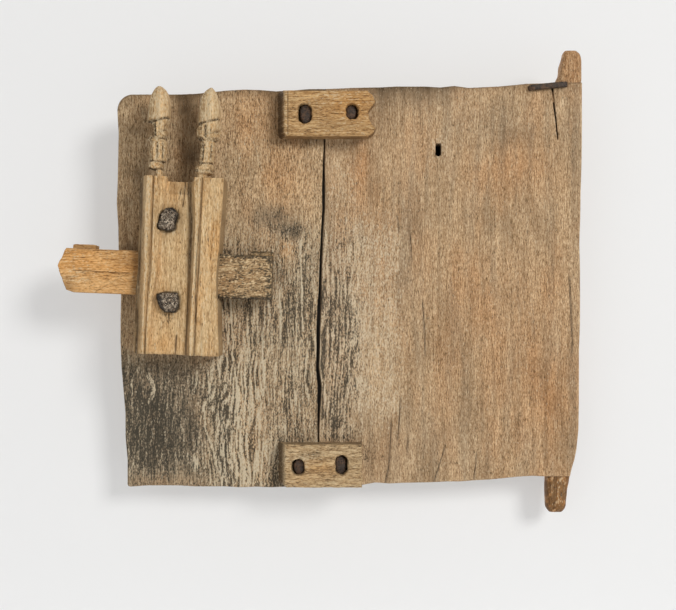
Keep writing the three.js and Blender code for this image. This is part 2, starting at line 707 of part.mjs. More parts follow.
/** Makes the left plank. */
function leftPlankSolid(cramps) {
  const { topCorner, bottomCorner } = LEAF;
  const topX = -LEAF.width;
  const bottomX = topX + LEAF.taper;
  const at = (x, z) => new THREE.Vector2(x, z);
  const side = splitSide(-1).reverse();
  const outline = [
    ...roundCorner(bottomX + bottomCorner, BOTTOM_LEFT + bottomCorner, bottomCorner, 2),
    ...wornEdge(
      at(bottomX + bottomCorner, BOTTOM_LEFT), at(side[0].x, BOTTOM_AT_SPLIT), WORN.leftPlankBottom,
    ),
    ...side,
    ...wornEdge(
      at(side[side.length - 1].x, TOP_AT_SPLIT), at(topX + topCorner, TOP_LEFT), WORN.leftPlankTop,
    ).slice(1),
    ...roundCorner(topX + topCorner, TOP_LEFT - topCorner, topCorner, 1),
    ...wornEdge(
      at(topX, TOP_LEFT - topCorner), at(bottomX, BOTTOM_LEFT + bottomCorner), WORN.leftPlankSide,
    ),
  ];
  const matrix = lockMatrix();
  const spikeRooms = [UPPER_SPIKE, LOWER_SPIKE].flatMap((spike) => (
    [placed(spikeHole(spike), matrix), placed(spikeRecess(spike), matrix)]
  ));
  return cut(plankSlab(outline), ...cramps.flatMap((cramp) => crampRoom(cramp).planks), ...spikeRooms);
}

/** Makes the right plank with both pivot horns. */
function rightPlankSolid(cramps) {
  const at = (x, z) => new THREE.Vector2(x, z);
  const side = splitSide(1);
  const root = LOWER_HORN.length;
  const [, hornLeft, hornRight] = LOWER_HORN.sections[1];
  const [, upperLeft] = UPPER_HORN.sections[2];
  const foot = STILE_FOOT.map(([up, x]) => ({ x, z: root + up, arris: LEAF.arris })).reverse();
  const stileTop = LEAF.height - 4;
  const outline = [
    ...wornEdge(
      at(side[side.length - 1].x, BOTTOM_AT_SPLIT), at(hornLeft, root), WORN.rightPlankBottom,
    ).slice(1),
    { x: hornLeft, z: root, arris: LEAF.arris },
    { x: hornRight, z: root, arris: LEAF.arris },
    ...foot,
    ...wornEdge(
      at(LEAF.stileBottom, foot[foot.length - 1].z), at(LEAF.stileTop, stileTop), WORN.stile,
    ).slice(1),
    { x: LEAF.stileTop, z: stileTop, arris: LEAF.arris },
    { x: LEAF.stileTop - 4, z: LEAF.height, arris: LEAF.arris },
    ...wornEdge(at(upperLeft, LEAF.height), at(side[0].x, TOP_AT_SPLIT), WORN.rightPlankTop),
    ...side,
  ];
  const crack = loft([FRONT - 1, BACK + 1].map((y) => [
    new THREE.Vector3(CRACK.x - CRACK.gape / 2, y, LEAF.height + 2),
    new THREE.Vector3(CRACK.footX, y, LEAF.height - CRACK.long),
    new THREE.Vector3(CRACK.x + CRACK.gape / 2, y, LEAF.height + 2),
  ]));
  const whole = joined(
    plankSlab(outline),
    horn(LOWER_HORN, root, 0),
    horn(UPPER_HORN, LEAF.height, LEAF.height + UPPER_HORN.length),
  );
  const slot = { x: -SLOT.fromPivot, z: LEAF.height - SLOT.below, wide: SLOT.wide, tall: SLOT.tall };
  return cut(
    whole,
    ...cramps.flatMap((cramp) => crampRoom(cramp).planks),
    ...stapleRoom(),
    uprightSlot(slot, SLOT.wide / 2, FRONT - 1, FRONT + SLOT.deep),
    crack,
  );
}

const topCleat = cleatPlace(TOP_CLEAT, SPLIT_TOP, TOP_AT_SPLIT - TOP_CLEAT.inset - TOP_CLEAT.tall);
const bottomCleat = cleatPlace(BOTTOM_CLEAT, SPLIT_BOTTOM, BOTTOM_AT_SPLIT + BOTTOM_CLEAT.inset);
const topCramp = crampPlace(topCleat, SPLIT_TOP, TOP_CRAMP_RISE, [TOP_LEFT_POCKET, TOP_RIGHT_POCKET]);
const bottomCramp = crampPlace(
  bottomCleat, SPLIT_BOTTOM, BOTTOM_CRAMP_RISE, [BOTTOM_LEFT_POCKET, BOTTOM_RIGHT_POCKET],
);
const cramps = [topCramp, bottomCramp];

const lock = new THREE.Group();
lock.applyMatrix4(lockMatrix());
lock.add(pieceOf('lock_body', lockSolid(), FINISHES.lock));
lock.add(pieceOf('lock_bolt', boltSolid(), FINISHES.bolt));
lock.add(pieceOf('lock_spike_upper', spikeSolid(UPPER_SPIKE), FINISHES.iron));
lock.add(pieceOf('lock_spike_lower', spikeSolid(LOWER_SPIKE), FINISHES.iron));
lock.add(pieceOf('tumbler_left', tumblerSolid(TUMBLER.along[0]), FINISHES.iron));
lock.add(pieceOf('tumbler_right', tumblerSolid(TUMBLER.along[1]), FINISHES.iron));

const door = new THREE.Group();
door.add(pieceOf('left_plank', leftPlankSolid(cramps), FINISHES.leftPlank));
door.add(pieceOf('right_plank', rightPlankSolid(cramps), FINISHES.rightPlank));
door.add(pieceOf('top_cleat', cleatSolid(topCleat, topCramp), FINISHES.cleat));
door.add(pieceOf('bottom_cleat', cleatSolid(bottomCleat, bottomCramp), FINISHES.cleat));
door.add(pieceOf('top_cramp', crampSolid(topCramp), FINISHES.iron));
door.add(pieceOf('bottom_cramp', crampSolid(bottomCramp), FINISHES.iron));
door.add(pieceOf('repair_staple', stapleSolid(), FINISHES.iron));
door.add(lock);

export default door;
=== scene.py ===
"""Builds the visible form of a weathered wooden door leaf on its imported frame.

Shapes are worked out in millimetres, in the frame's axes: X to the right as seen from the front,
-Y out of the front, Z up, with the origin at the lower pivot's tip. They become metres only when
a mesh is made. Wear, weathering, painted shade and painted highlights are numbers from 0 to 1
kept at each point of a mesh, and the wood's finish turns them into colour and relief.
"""

import logging
import math
from collections.abc import Callable
from dataclasses import dataclass, fields
from enum import Enum

import bpy
import numpy as np
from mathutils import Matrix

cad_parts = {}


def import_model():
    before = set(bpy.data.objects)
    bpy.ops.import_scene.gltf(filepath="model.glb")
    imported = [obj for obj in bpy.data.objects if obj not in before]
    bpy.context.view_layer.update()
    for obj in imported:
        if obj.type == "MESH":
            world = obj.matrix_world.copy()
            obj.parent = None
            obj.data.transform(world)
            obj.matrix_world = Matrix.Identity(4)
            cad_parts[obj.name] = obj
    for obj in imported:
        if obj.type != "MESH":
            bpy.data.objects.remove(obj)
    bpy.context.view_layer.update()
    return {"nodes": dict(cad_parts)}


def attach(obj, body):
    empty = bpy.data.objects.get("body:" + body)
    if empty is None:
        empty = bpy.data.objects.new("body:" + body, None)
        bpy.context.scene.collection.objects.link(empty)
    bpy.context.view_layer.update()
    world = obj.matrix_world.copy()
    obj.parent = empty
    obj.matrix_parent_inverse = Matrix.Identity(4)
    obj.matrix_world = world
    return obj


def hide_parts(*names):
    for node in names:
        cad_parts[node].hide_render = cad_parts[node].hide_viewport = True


LOG = logging.getLogger("door")
MM = 0.001

# The front view's columns and rows are this many mm apart, and the origin lies at this place in it.
VIEW_STEP = 1.3
VIEW_COLUMN = 557
VIEW_ROW = 513.5

Array = np.ndarray
Colour = tuple[int, int, int]
Faces = list[list[int]]
Marks = dict[str, Array]
Pair = tuple[float, float]
Path = tuple[Pair, ...]
Patch = tuple[float, Pair, Pair]
Socket = bpy.types.NodeSocket
Value = bpy.types.NodeSocket | float | tuple[float, ...]
Edges = Callable[[Array, Array], tuple[Array, Array, Array, Array]]
Weather = Callable[[Array, Array], tuple[Array, Marks]]


class Body(Enum):
    """The frame's moving bodies."""

    DOOR = "door"
    BOLT = "bolt"


class Grain(Enum):
    """Which way the wood's grain runs, as the stretch of a pattern along X, Y and Z."""

    UPRIGHT = (1.0, 1.0, 0.055)
    ACROSS = (0.055, 1.0, 1.0)


# Patterns


def scattered(column: Array, row: Array, seed: int) -> Array:
    """Give each whole-numbered cell a number from 0 to 1 that looks random.

    The two numbers of the cell and the seed are multiplied by large odd numbers, mixed by
    exclusive or, and shifted, as 32-bit whole numbers.

    Args:
        column: The cell's column.
        row: The cell's row.
        seed: Which pattern this is.

    Returns:
        One number per cell.
    """
    mixed = column.astype(np.int64).astype(np.uint32) * np.uint32(374761393)
    mixed ^= row.astype(np.int64).astype(np.uint32) * np.uint32(668265263)
    mixed ^= np.uint32((seed * 2654435761) % 4294967296)
    mixed = (mixed ^ (mixed >> np.uint32(13))) * np.uint32(1274126177)
    mixed ^= mixed >> np.uint32(16)
    return mixed / 4294967296.0


def ripple(x: Array, y: Array, seed: int) -> Array:
    """Give a smooth random surface of gradient noise, from about -1 to 1.

    Each cell's corner has a slope in a random direction, and the four slopes are blended with
    the weight 6t^5 - 15t^4 + 10t^3.

    Args:
        x: Places along the first axis, with one cell per unit.
        y: Places along the second axis.
        seed: Which pattern this is.

    Returns:
        One height per place.
    """
    column, row = np.floor(x), np.floor(y)
    fx, fy = x - column, y - row
    wx = fx**3 * (fx * (6 * fx - 15) + 10)
    wy = fy**3 * (fy * (6 * fy - 15) + 10)

    def corner(dx: int, dy: int) -> Array:
        """Give the height of one corner's slope."""
        turn = 2 * math.pi * scattered(column + dx, row + dy, seed)
        return np.cos(turn) * (fx - dx) + np.sin(turn) * (fy - dy)

    low = corner(0, 0) * (1 - wx) + corner(1, 0) * wx
    high = corner(0, 1) * (1 - wx) + corner(1, 1) * wx
    return 1.5 * (low * (1 - wy) + high * wy)


def rough(x: Array, y: Array, seed: int, octaves: int = 3) -> Array:
    """Sum gradient noise over octaves, each twice as fine and half as high as the last.

    Args:
        x: Places along the first axis.
        y: Places along the second axis.
        seed: Which pattern this is.
        octaves: How many layers are summed.

    Returns:
        One height per place, from about -1 to 1.
    """
    shift_x, shift_y, next_seed = 17.3, -9.1, 31
    layers = [
        0.5**n * ripple(x * 2**n + shift_x * n, y * 2**n + shift_y * n, seed + next_seed * n)
        for n in range(octaves)
    ]
    return np.sum(layers, axis=0)


def rise(low: float, high: float, value: Array) -> Array:
    """Go smoothly from 0 at low to 1 at high, as 3t^2 - 2t^3."""
    share = np.clip((value - low) / (high - low), 0, 1)
    return share * share * (3 - 2 * share)


def band(low: float, high: float, soft: float, value: Array) -> Array:
    """Give 1 between two limits and 0 outside them, with soft edges."""
    return rise(low - soft, low + soft, value) * (1 - rise(high - soft, high + soft, value))


def spot(x: Array, z: Array, centre: tuple[float, float], reach: tuple[float, float]) -> Array:
    """Give a soft oval patch: e to the minus square of the distance, counted in reaches."""
    return np.exp(-(((x - centre[0]) / reach[0]) ** 2) - (((z - centre[1]) / reach[1]) ** 2))


def patched(patches: tuple[Patch, ...], x: Array, z: Array) -> Array:
    """Sum soft oval patches, each times its strength.

    Args:
        patches: Each patch's strength, its centre, and its reach across and up.
        x: Places across.
        z: Places up.

    Returns:
        One sum per place.
    """
    return sum((strength * spot(x, z, centre, reach) for strength, centre, reach in patches), 0 * x)


def line_at(away: Array, half: float | Array) -> Array:
    """Give 1 on a line and 0 from half its width: one less the distance, counted in halves."""
    return np.clip(1 - np.abs(away) / half, 0, 1)


def soft_line(away: Array, half: float) -> Array:
    """Give a soft line: e to the minus square of the distance, counted in halves."""
    return np.exp(-((away / half) ** 2))


def evenly(values: tuple, low: float, high: float, at: Array) -> Array:
    """Read values that are evenly spaced between two ends."""
    return np.interp(at, np.linspace(low, high, len(values)), values)


def seen(x: Array, z: Array) -> tuple[Array, Array]:
    """Turn places on the leaf's front into columns and rows of the front view."""
    return x / VIEW_STEP + VIEW_COLUMN, VIEW_ROW - z / VIEW_STEP


def crack_at(column: Array, row: Array, path: Path, half: float) -> Array:
    """Give how deep a place lies in an upright crack, from 0 beside it to 1 on its line.

    The crack's column at each row is read from its path, and it closes over its first and last
    six rows.

    Args:
        column: Columns of the front view.
        row: Rows of the front view.
        path: The crack's points as (column, row), from top to bottom.
        half: Half the crack's width, in columns.

    Returns:
        One depth per place.
    """
    rows = [point[1] for point in path]
    middle = np.interp(row, rows, [point[0] for point in path])
    open_here = np.clip(np.minimum(row - rows[0], rows[-1] - row) / 6 + 0.35, 0, 1)
    open_here = open_here * (row > rows[0] - 2) * (row < rows[-1] + 2)
    return line_at(column - middle, half) * open_here


# Meshes


@dataclass
class Shell:
    """A closed block of cells, of which only the surface is kept.

    Attributes:
        across: Each point's share of the way from the left side to the right.
        deep: Each point's share of the way from the front to the back.
        up: Each point's share of the way from the bottom to the top.
        faces: The faces, as lists of point numbers.
    """

    across: Array
    deep: Array
    up: Array
    faces: Faces


def quads(grid: Array, turned: bool) -> Array:
    """Give the four-sided faces of a grid of point numbers.

    Args:
        grid: Point numbers.
        turned: Whether the faces are turned over.

    Returns:
        Faces of four corners, one per row.
    """
    corners = [grid[:-1, :-1], grid[1:, :-1], grid[1:, 1:], grid[:-1, 1:]]
    if turned:
        corners.reverse()
    return np.stack([corner.ravel() for corner in corners], axis=1)


def thinned_quads(grid: Array) -> Faces:
    """Give turned faces of a grid at half its fineness, joined to the full edge around it.

    Each wide cell lists its four corners and the four points midway between them, and the
    points that the grid doesn't have, marked -1, are dropped.

    Args:
        grid: Point numbers, with -1 where there is no point.

    Returns:
        Faces of four to six corners.
    """
    wide, across, up = grid[::2, ::2], grid[1::2, ::2], grid[::2, 1::2]
    ring = np.stack(
        [
            wide[:-1, :-1], across[:, :-1], wide[1:, :-1], up[1:, :],
            wide[1:, 1:], across[:, 1:], wide[:-1, 1:], up[:-1, :],
        ],
        axis=-1,
    ).reshape(-1, 8)
    counts = (ring >= 0).sum(axis=1)
    faces: Faces = []
    for count in np.unique(counts):
        rows = ring[counts == count]
        faces += rows[rows >= 0].reshape(-1, count)[:, ::-1].tolist()
    return faces


def shell_of(across: Array, deep: Array, up: Array, thin_back: bool = False) -> Shell:
    """Make a closed shell from the marks along its three sides.

    Args:
        across: Marks from 0 to 1 from left to right.
        deep: Marks from 0 to 1 from front to back.
        up: Marks from 0 to 1 from bottom to top.
        thin_back: Whether the back has half the fineness, which needs odd numbers of marks.

    Returns:
        The shell, with its faces outwards.
    """
    kept = np.zeros((len(across), len(deep), len(up)), dtype=bool)
    kept[:, 0, :] = True
    kept[[0, -1], :, :] = True
    kept[:, :, [0, -1]] = True
    if thin_back:
        kept[::2, -1, ::2] = True
    else:
        kept[:, -1, :] = True
    number = np.full(kept.shape, -1)
    i, j, k = np.nonzero(kept)
    number[kept] = np.arange(len(i))
    faces = [
        *quads(number[:, 0, :], False).tolist(),
        *quads(number[0], True).tolist(),
        *quads(number[-1], False).tolist(),
        *quads(number[:, :, -1], False).tolist(),
        *quads(number[:, :, 0], True).tolist(),
    ]
    if thin_back:
        faces += thinned_quads(number[:, -1, :])
    else:
        faces += quads(number[:, -1, :], True).tolist()
    return Shell(across[i], deep[j], up[k], faces)


def marks_for(length: float, step: float, arris: float = 2.6) -> Array:
    """Give an odd number of marks from 0 to 1, with closer ones at both ends.

    Args:
        length: The side's length in mm.
        step: The usual distance between marks in mm.
        arris: How far the rounded edge reaches in from each end, in mm.

    Returns:
        The marks, as shares of the length.
    """
    edge_marks = (0, 0.25, 0.55, 1)
    edge = arris * np.array(edge_marks)
    count = max(2, round((length - 2 * arris) / step))
    middle = np.linspace(arris, length - arris, count + 1 + count % 2)
    marks = np.concatenate([edge[:-1], middle, length - edge[-2::-1]])
    return marks / length


def finer(marks: Array, low: float, high: float, step: float) -> Array:
    """Put closer marks between two shares, with the total kept odd.

    Args:
        marks: The marks so far.
        low: Where the closer marks start.
        high: Where they end.
        step: The distance between them.

    Returns:
        All the marks in order.
    """
    extra = np.arange(low, high, step)
    kept = marks[(marks < low - step / 2) | (marks > high)]
    both = np.sort(np.concatenate([kept, extra]))
    if len(both) % 2 == 0:
        both = np.sort(np.append(both, (extra[0] + extra[1]) / 2))
    return both


def side_of(share: Array) -> Array:
    """Give 1 on the last side, -1 on the first and 0 between."""
    return (share == 1) * 1.0 - (share == 0)


def edge_inset(deep: Array, thick: float, arris: float) -> Array:
    """Give how far a rounded arris stands in, as a quarter circle at front and back."""
    to_face = np.minimum(deep, 1 - deep) * thick
    return arris * (1 - np.sqrt(np.clip(1 - (1 - np.minimum(to_face / arris, 1)) ** 2, 0, 1)))


def tube(rings: Array) -> tuple[Array, Faces]:
    """Close a run of rings into a solid with a flat cap at each end.

    Args:
        rings: Points as (ring, place on the ring, axis).

    Returns:
        The points and the faces.
    """
    count, around = rings.shape[:2]
    number = np.arange(count * around).reshape(count, around)
    wrapped = np.concatenate([number, number[:, :1]], axis=1)
    faces = quads(wrapped, False).tolist()
    faces += [number[0].tolist(), number[-1][::-1].tolist()]
    return rings.reshape(-1, 3), faces


def directions(path: Array) -> Array:
    """Give a path's direction at each of its points, as vectors one long."""
    along = np.gradient(path, axis=0)
    return along / np.linalg.norm(along, axis=1, keepdims=True)


def section(count: int, power: float) -> tuple[Array, Array]:
    """Give a superellipse: the cosine and the sine of the turn, each to a power, with its sign.

    Args:
        count: How many points it has.
        power: The power, which is 1 for a circle and 0 for a square.

    Returns:
        The points' places across and out, from -1 to 1.
    """
    turn = np.linspace(0, 2 * math.pi, count, endpoint=False)
    cosine, sine = np.cos(turn), np.sin(turn)
    return np.sign(cosine) * np.abs(cosine) ** power, np.sign(sine) * np.abs(sine) ** power


def squared_circle(turn: Array, exponent: float) -> Array:
    """Give a squarish ring's radius: the cosine and sine to an exponent, summed, to -1 by it."""
    return (np.abs(np.cos(turn)) ** exponent + np.abs(np.sin(turn)) ** exponent) ** (-1 / exponent)


def swept_bar(path: Array, wide: Array, thick: Array, face: Array, seed: int) -> tuple[Array, Faces]:
    """Carry a hammered, rounded section along a path.

    The section is a superellipse, turned so that its width lies across the path and square to
    the given face, and its points are moved in and out by gradient noise.

    Args:
        path: Points of the path in mm.
        wide: The width at each point.
        thick: The thickness at each point.
        face: The direction that the bar's thickness points along.
        seed: Which hammering this is.

    Returns:
        The points and the faces.
    """
    count, power, dent_long, dent_deep = 20, 0.5, 5, 0.55
    along = directions(path)
    side = np.cross(along, face)
    side /= np.linalg.norm(side, axis=1, keepdims=True)
    up = np.cross(side, along)
    turn = np.linspace(0, 2 * math.pi, count, endpoint=False)
    across, out = section(count, power)
    steps = np.linalg.norm(np.diff(path, axis=0), axis=1)
    travelled = np.concatenate([[0], np.cumsum(steps)])
    dent = rough(travelled[:, None] / dent_long + 0 * turn, turn[None, :] * 1.1 + seed, seed) * dent_deep
    half_wide = wide[:, None] / 2 + dent
    half_thick = thick[:, None] / 2 + 0.6 * dent
    rings = (
        path[:, None, :]
        + side[:, None, :] * (across * half_wide)[:, :, None]
        + up[:, None, :] * (out * half_thick)[:, :, None]
    )
    return tube(rings)


def level_bar(path: Array, up: Array, wide: Array, thick: Array, seed: int) -> tuple[Array, Faces]:
    """Carry a hammered, rounded section along a path that bends in one plane.

    The section is a superellipse whose width keeps one direction all along, and its points are
    moved in and out by gradient noise.

    Args:
        path: Points of the path in mm.
        up: The direction of the section's width.
        wide: The width at each point.
        thick: The thickness at each point.
        seed: Which hammering this is.

    Returns:
        The points and the faces.
    """
    count, power, dent_deep = 24, 0.45, 0.35
    out = np.cross(directions(path), up)
    out /= np.linalg.norm(out, axis=1, keepdims=True)
    turn = np.linspace(0, 2 * math.pi, count, endpoint=False)
    across, proud = section(count, power)
    steps = np.arange(len(path))[:, None]
    dent = dent_deep * rough(steps / 4 + 0 * turn, turn[None, :] * 0.9 + 0 * steps, seed)
    rings = (
        path[:, None, :]
        + up * (across * (wide[:, None] / 2 + dent))[:, :, None]
        + out[:, None, :] * (proud * (thick[:, None] / 2 + 0.5 * dent))[:, :, None]
    )
    return tube(rings)


def bent_path(corners: list[tuple[float, float, float]], radius: float, step: float) -> Array:
    """Round the corners of a path and give points along it.

    Each corner becomes a quadratic curve that starts and ends one radius from it.

    Args:
        corners: The path's corners in mm.
        radius: How far from each corner the curve starts.
        step: The distance between points in mm.

    Returns:
        The points of the path.
    """
    points = np.array(corners, dtype=float)
    runs = []
    start = points[0]
    for before, corner, after in zip(points[:-2], points[1:-1], points[2:]):
        enter = corner + (before - corner) / np.linalg.norm(before - corner) * radius
        leave = corner + (after - corner) / np.linalg.norm(after - corner) * radius
        count = max(2, round(np.linalg.norm(enter - start) / step))
        runs.append(np.linspace(start, enter, count, endpoint=False))
        t = np.linspace(0, 1, 6, endpoint=False)[:, None]
        runs.append((1 - t) ** 2 * enter + 2 * t * (1 - t) * corner + t**2 * leave)
        start = leave
    count = max(2, round(np.linalg.norm(points[-1] - start) / step))
    runs.append(np.linspace(start, points[-1], count))
    return np.concatenate(runs)


# Finishes


def linear(colour: Colour) -> tuple[float, float, float, float]:
    """Turn a screen colour into the linear colour that a shader takes.

    Each part, as a share of 255, has 0.055 added, is divided by 1.055 and raised to 2.4, or is
    divided by 12.92 where it is very dark.

    Args:
        colour: Red, green and blue from 0 to 255.

    Returns:
        Linear red, green and blue, and 1 for opaque.
    """
    parts = [part / 255 for part in colour]
    red, green, blue = (p / 12.92 if p <= 0.04045 else ((p + 0.055) / 1.055) ** 2.4 for p in parts)
    return (red, green, blue, 1.0)


class Pad:
    """A new material, and short ways to add its nodes."""

    def __init__(self, name: str) -> None:
        """Start a material with its shader and its place in object space.

        Args:
            name: The material's name.
        """
        self.material = bpy.data.materials.new(name)
        self.material.use_nodes = True
        self.nodes = self.material.node_tree.nodes
        self.links = self.material.node_tree.links
        self.nodes.clear()
        self.output = self.nodes.new("ShaderNodeOutputMaterial")
        self.shader = self.nodes.new("ShaderNodeBsdfPrincipled")
        self.links.new(self.shader.outputs["BSDF"], self.output.inputs["Surface"])
        self.place = self.nodes.new("ShaderNodeTexCoord").outputs["Object"]

    def put(self, value: Value, socket: Socket) -> None:
        """Set a socket to a number or colour, or link another socket to it.

        Args:
            value: The number, colour or socket.
            socket: The socket that takes it.
        """
        if isinstance(value, bpy.types.NodeSocket):
            self.links.new(value, socket)
        else:
            socket.default_value = value

    def number(self, operation: str, first: Value, second: Value) -> Socket:
        """Add a Math node.

        Args:
            operation: What it does.
            first: Its first number.
            second: Its second number.

        Returns:
            The result's socket.
        """
        node = self.nodes.new("ShaderNodeMath")
        node.operation = operation
        self.put(first, node.inputs[0])
        self.put(second, node.inputs[1])
        return node.outputs[0]

    def noise(self, stretch: tuple, size_mm: float, detail: float, offset: float = 0.0) -> Socket:
        """Add a noise pattern with features of about the given size.

        Args:
            stretch: The pattern's scale along X, Y and Z.
            size_mm: The size of a feature where the scale is 1.
            detail: How many finer layers it has.
            offset: How far the pattern is moved, so that no two are alike.

        Returns:
            The result's socket.
        """
        mapping = self.nodes.new("ShaderNodeMapping")
        mapping.inputs["Scale"].default_value = stretch
        mapping.inputs["Location"].default_value = (offset, 0.37 * offset, 0.71 * offset)
        self.links.new(self.place, mapping.inputs["Vector"])
        node = self.nodes.new("ShaderNodeTexNoise")
        node.inputs["Scale"].default_value = 1 / (size_mm * MM)
        node.inputs["Detail"].default_value = detail
        node.inputs["Roughness"].default_value = 0.6
        self.links.new(mapping.outputs["Vector"], node.inputs["Vector"])
        return node.outputs["Fac"]

    def mark(self, name: str) -> Socket:
        """Read a number that is kept at each point of the mesh.

        Args:
            name: The mark's name.

        Returns:
            The number's socket.
        """
        node = self.nodes.new("ShaderNodeAttribute")
        node.attribute_name = name
        return node.outputs["Fac"]

    def ramp(self, value: Socket, stops: list[tuple[float, tuple]]) -> Socket:
        """Turn a number into a colour along stops.

        Args:
            value: The number.
            stops: Each stop's place and colour.

        Returns:
            The colour's socket.
        """
        node = self.nodes.new("ShaderNodeValToRGB")
        elements = node.color_ramp.elements
        elements[0].position, elements[0].color = stops[0]
        elements[1].position, elements[1].color = stops[-1]
        for position, colour in stops[1:-1]:
            elements.new(position).color = colour
        self.links.new(value, node.inputs["Fac"])
        return node.outputs["Color"]

    def step(self, value: Socket, low: float, high: float) -> Socket:
        """Go smoothly from 0 at low to 1 at high.

        Args:
            value: The number.
            low: Where the result is 0.
            high: Where the result is 1.

        Returns:
            The result's socket.
        """
        node = self.nodes.new("ShaderNodeMapRange")
        node.interpolation_type = "SMOOTHSTEP"
        node.inputs["From Min"].default_value = low
        node.inputs["From Max"].default_value = high
        self.links.new(value, node.inputs["Value"])
        return node.outputs["Result"]

    def mix(self, share: Value, first: Value, second: Value, blend: str = "MIX") -> Socket:
        """Blend two colours.

        Args:
            share: How much of the second colour there is.
            first: The first colour.
            second: The second colour.
            blend: How they are blended.

        Returns:
            The colour's socket.
        """
        share_at, first_at, second_at, colour_at = 0, 6, 7, 2
        node = self.nodes.new("ShaderNodeMix")
        node.data_type = "RGBA"
        node.blend_type = blend
        self.put(share, node.inputs[share_at])
        self.put(first, node.inputs[first_at])
        self.put(second, node.inputs[second_at])
        return node.outputs[colour_at]

    def relief(self, height: Socket, distance_mm: float, strength: float) -> None:
        """Give the surface fine relief.

        Args:
            height: The height at each place, from 0 to 1.
            distance_mm: What a height of 1 stands for.
            strength: How much of it shows.
        """
        node = self.nodes.new("ShaderNodeBump")
        node.inputs["Distance"].default_value = distance_mm * MM
        node.inputs["Strength"].default_value = strength
        self.links.new(height, node.inputs["Height"])
        self.links.new(node.outputs["Normal"], self.shader.inputs["Normal"])

    def shared(self, *terms: tuple[float, Socket]) -> Socket:
        """Sum sockets, each times its share.

        Args:
            terms: Each term's share and socket.

        Returns:
            The sum's socket.
        """
        total = None
        for share, socket in terms:
            part = self.number("MULTIPLY", socket, share)
            total = part if total is None else self.number("ADD", total, part)
        return total


@dataclass(frozen=True)
class WoodFinish:
    """Old bare wood, with its grain, its stains and its bleached ridges.

    Attributes:
        name: The material's name.
        heart: The usual colour.
        streak: The dark of the grain.
        pale: The light of the grain.
        warm: The tint of warm patches.
        bleached_and_lit: The colour of bare, dry ridges, and of painted highlights.
        soot: The colour of soot and dirt.
        weathered: The grey-brown that old wood turns.
        stain_and_shade_brown: The colour of soft brown stains and of painted shade.
        contrast: How plain the grain is.
        grain: Which way the grain runs.
        width: The width of a streak of grain in mm.
        relief: The height of the grain in mm.
        roughness: How dull the wood is.
        opening_shade: The painted shade inside cracks, holes and cuts.
        threshold: Between which sums bare wood and soot go from none to full.
    """

    name: str
    heart: Colour
    streak: Colour
    pale: Colour
    warm: Colour
    bleached_and_lit: Colour = (206, 186, 152)
    soot: Colour = (43, 43, 37)
    weathered: Colour = (116, 113, 101)
    stain_and_shade_brown: Colour = (68, 50, 29)
    contrast: float = 1.0
    grain: Grain = Grain.UPRIGHT
    width: float = 1.5
    relief: float = 0.5
    roughness: float = 0.82
    opening_shade: Colour = (16, 13, 10)
    threshold: Pair = (0.2, 0.86)

    def material(self) -> bpy.types.Material:
        """Build the material.

        Long noise along the grain gives streaks, hairs and ticks. Each weathering mark, with
        some of that noise added, is compared with a threshold, so stains break up along the
        grain as real ones do. The stain mark also carries painted shade, the bare mark painted
        highlights, and the gap mark the painted shade inside openings.

        Returns:
            The material.
        """
        pad = Pad(self.name)
        along = self.grain.value
        longer = tuple(part**0.62 for part in along)
        short = tuple(part**0.34 for part in along)
        streaks = pad.noise(along, self.width * 1.3, 3.0, 0.3)
        hairs = pad.noise(longer, self.width * 1.05, 2.0, 1.7)
        grit = pad.noise(short, self.width * 0.95, 1.0, 2.9)
        specks = pad.noise(short, self.width * 1.05, 1.0, 6.3)
        broad = pad.noise(along, self.width * 7, 3.0, 4.1)
        patchy = tuple(part**0.35 for part in along)
        patch = pad.noise(patchy, 38.0, 3.0, 5.3)
        grainy = pad.shared((0.22, streaks), (0.4, hairs), (0.26, grit), (0.12, broad))
        spread = 0.115 / self.contrast
        places = (0.5 - spread, 0.5, 0.5 + spread)
        colours = (self.streak, self.heart, self.pale)
        colour = pad.ramp(grainy, [(at, linear(tint)) for at, tint in zip(places, colours)])
        tinted = pad.number("MULTIPLY", pad.step(patch, 0.42, 0.66), 0.3)
        warmth = pad.number("MINIMUM", pad.number("ADD", pad.mark("warmth"), tinted), 0.85)
        warmed = pad.mix(1.0, colour, linear(self.warm), "MULTIPLY")
        colour = pad.mix(warmth, colour, warmed)
        greyed = pad.mix(0.4, linear(self.weathered), colour)
        colour = pad.mix(pad.mark("dull"), colour, greyed)
        uneven = pad.number("ADD", pad.shared((1.4, hairs), (0.8, grit)), -0.1)
        # The stain mark is real stain and painted shade, both in the same brown.
        stain_and_shade = pad.number("MULTIPLY", pad.mark("stain_and_shade"), uneven)
        colour = pad.mix(pad.number("MINIMUM", stain_and_shade, 0.95), colour, linear(self.stain_and_shade_brown))
        shine = pad.shared((1.0, streaks), (1.9, specks))
        # The bare mark is bleached wood and painted highlights, both in the bleached colour.
        bare = pad.number("ADD", pad.mark("bare"), pad.number("SUBTRACT", shine, 1.45))
        shiny = pad.number("MULTIPLY", pad.step(bare, *self.threshold), 0.85)
        colour = pad.mix(shiny, colour, linear(self.bleached_and_lit))
        grime = pad.shared((1.1, hairs), (1.9, grit))
        dirt = pad.number("ADD", pad.mark("dirt"), pad.number("SUBTRACT", 1.5, grime))
        sooty = pad.step(dirt, *self.threshold)
        colour = pad.mix(pad.number("MULTIPLY", sooty, 0.82), colour, linear(self.soot))
        # Painted shade: the gap mark darkens cracks, holes, cuts and the split to the colour inside an
        # opening.
        colour = pad.mix(pad.mark("gap"), colour, linear(self.opening_shade))
        pad.links.new(colour, pad.shader.inputs["Base Color"])
        dry = pad.number("ADD", pad.number("MULTIPLY", grainy, -0.2), self.roughness + 0.1)
        pad.links.new(dry, pad.shader.inputs["Roughness"])
        pad.shader.inputs["Specular IOR Level"].default_value = 0.3
        height = pad.shared((0.4, streaks), (0.4, hairs), (0.6, grit), (0.2, specks))
        pad.relief(height, self.relief, 0.9)
        return pad.material


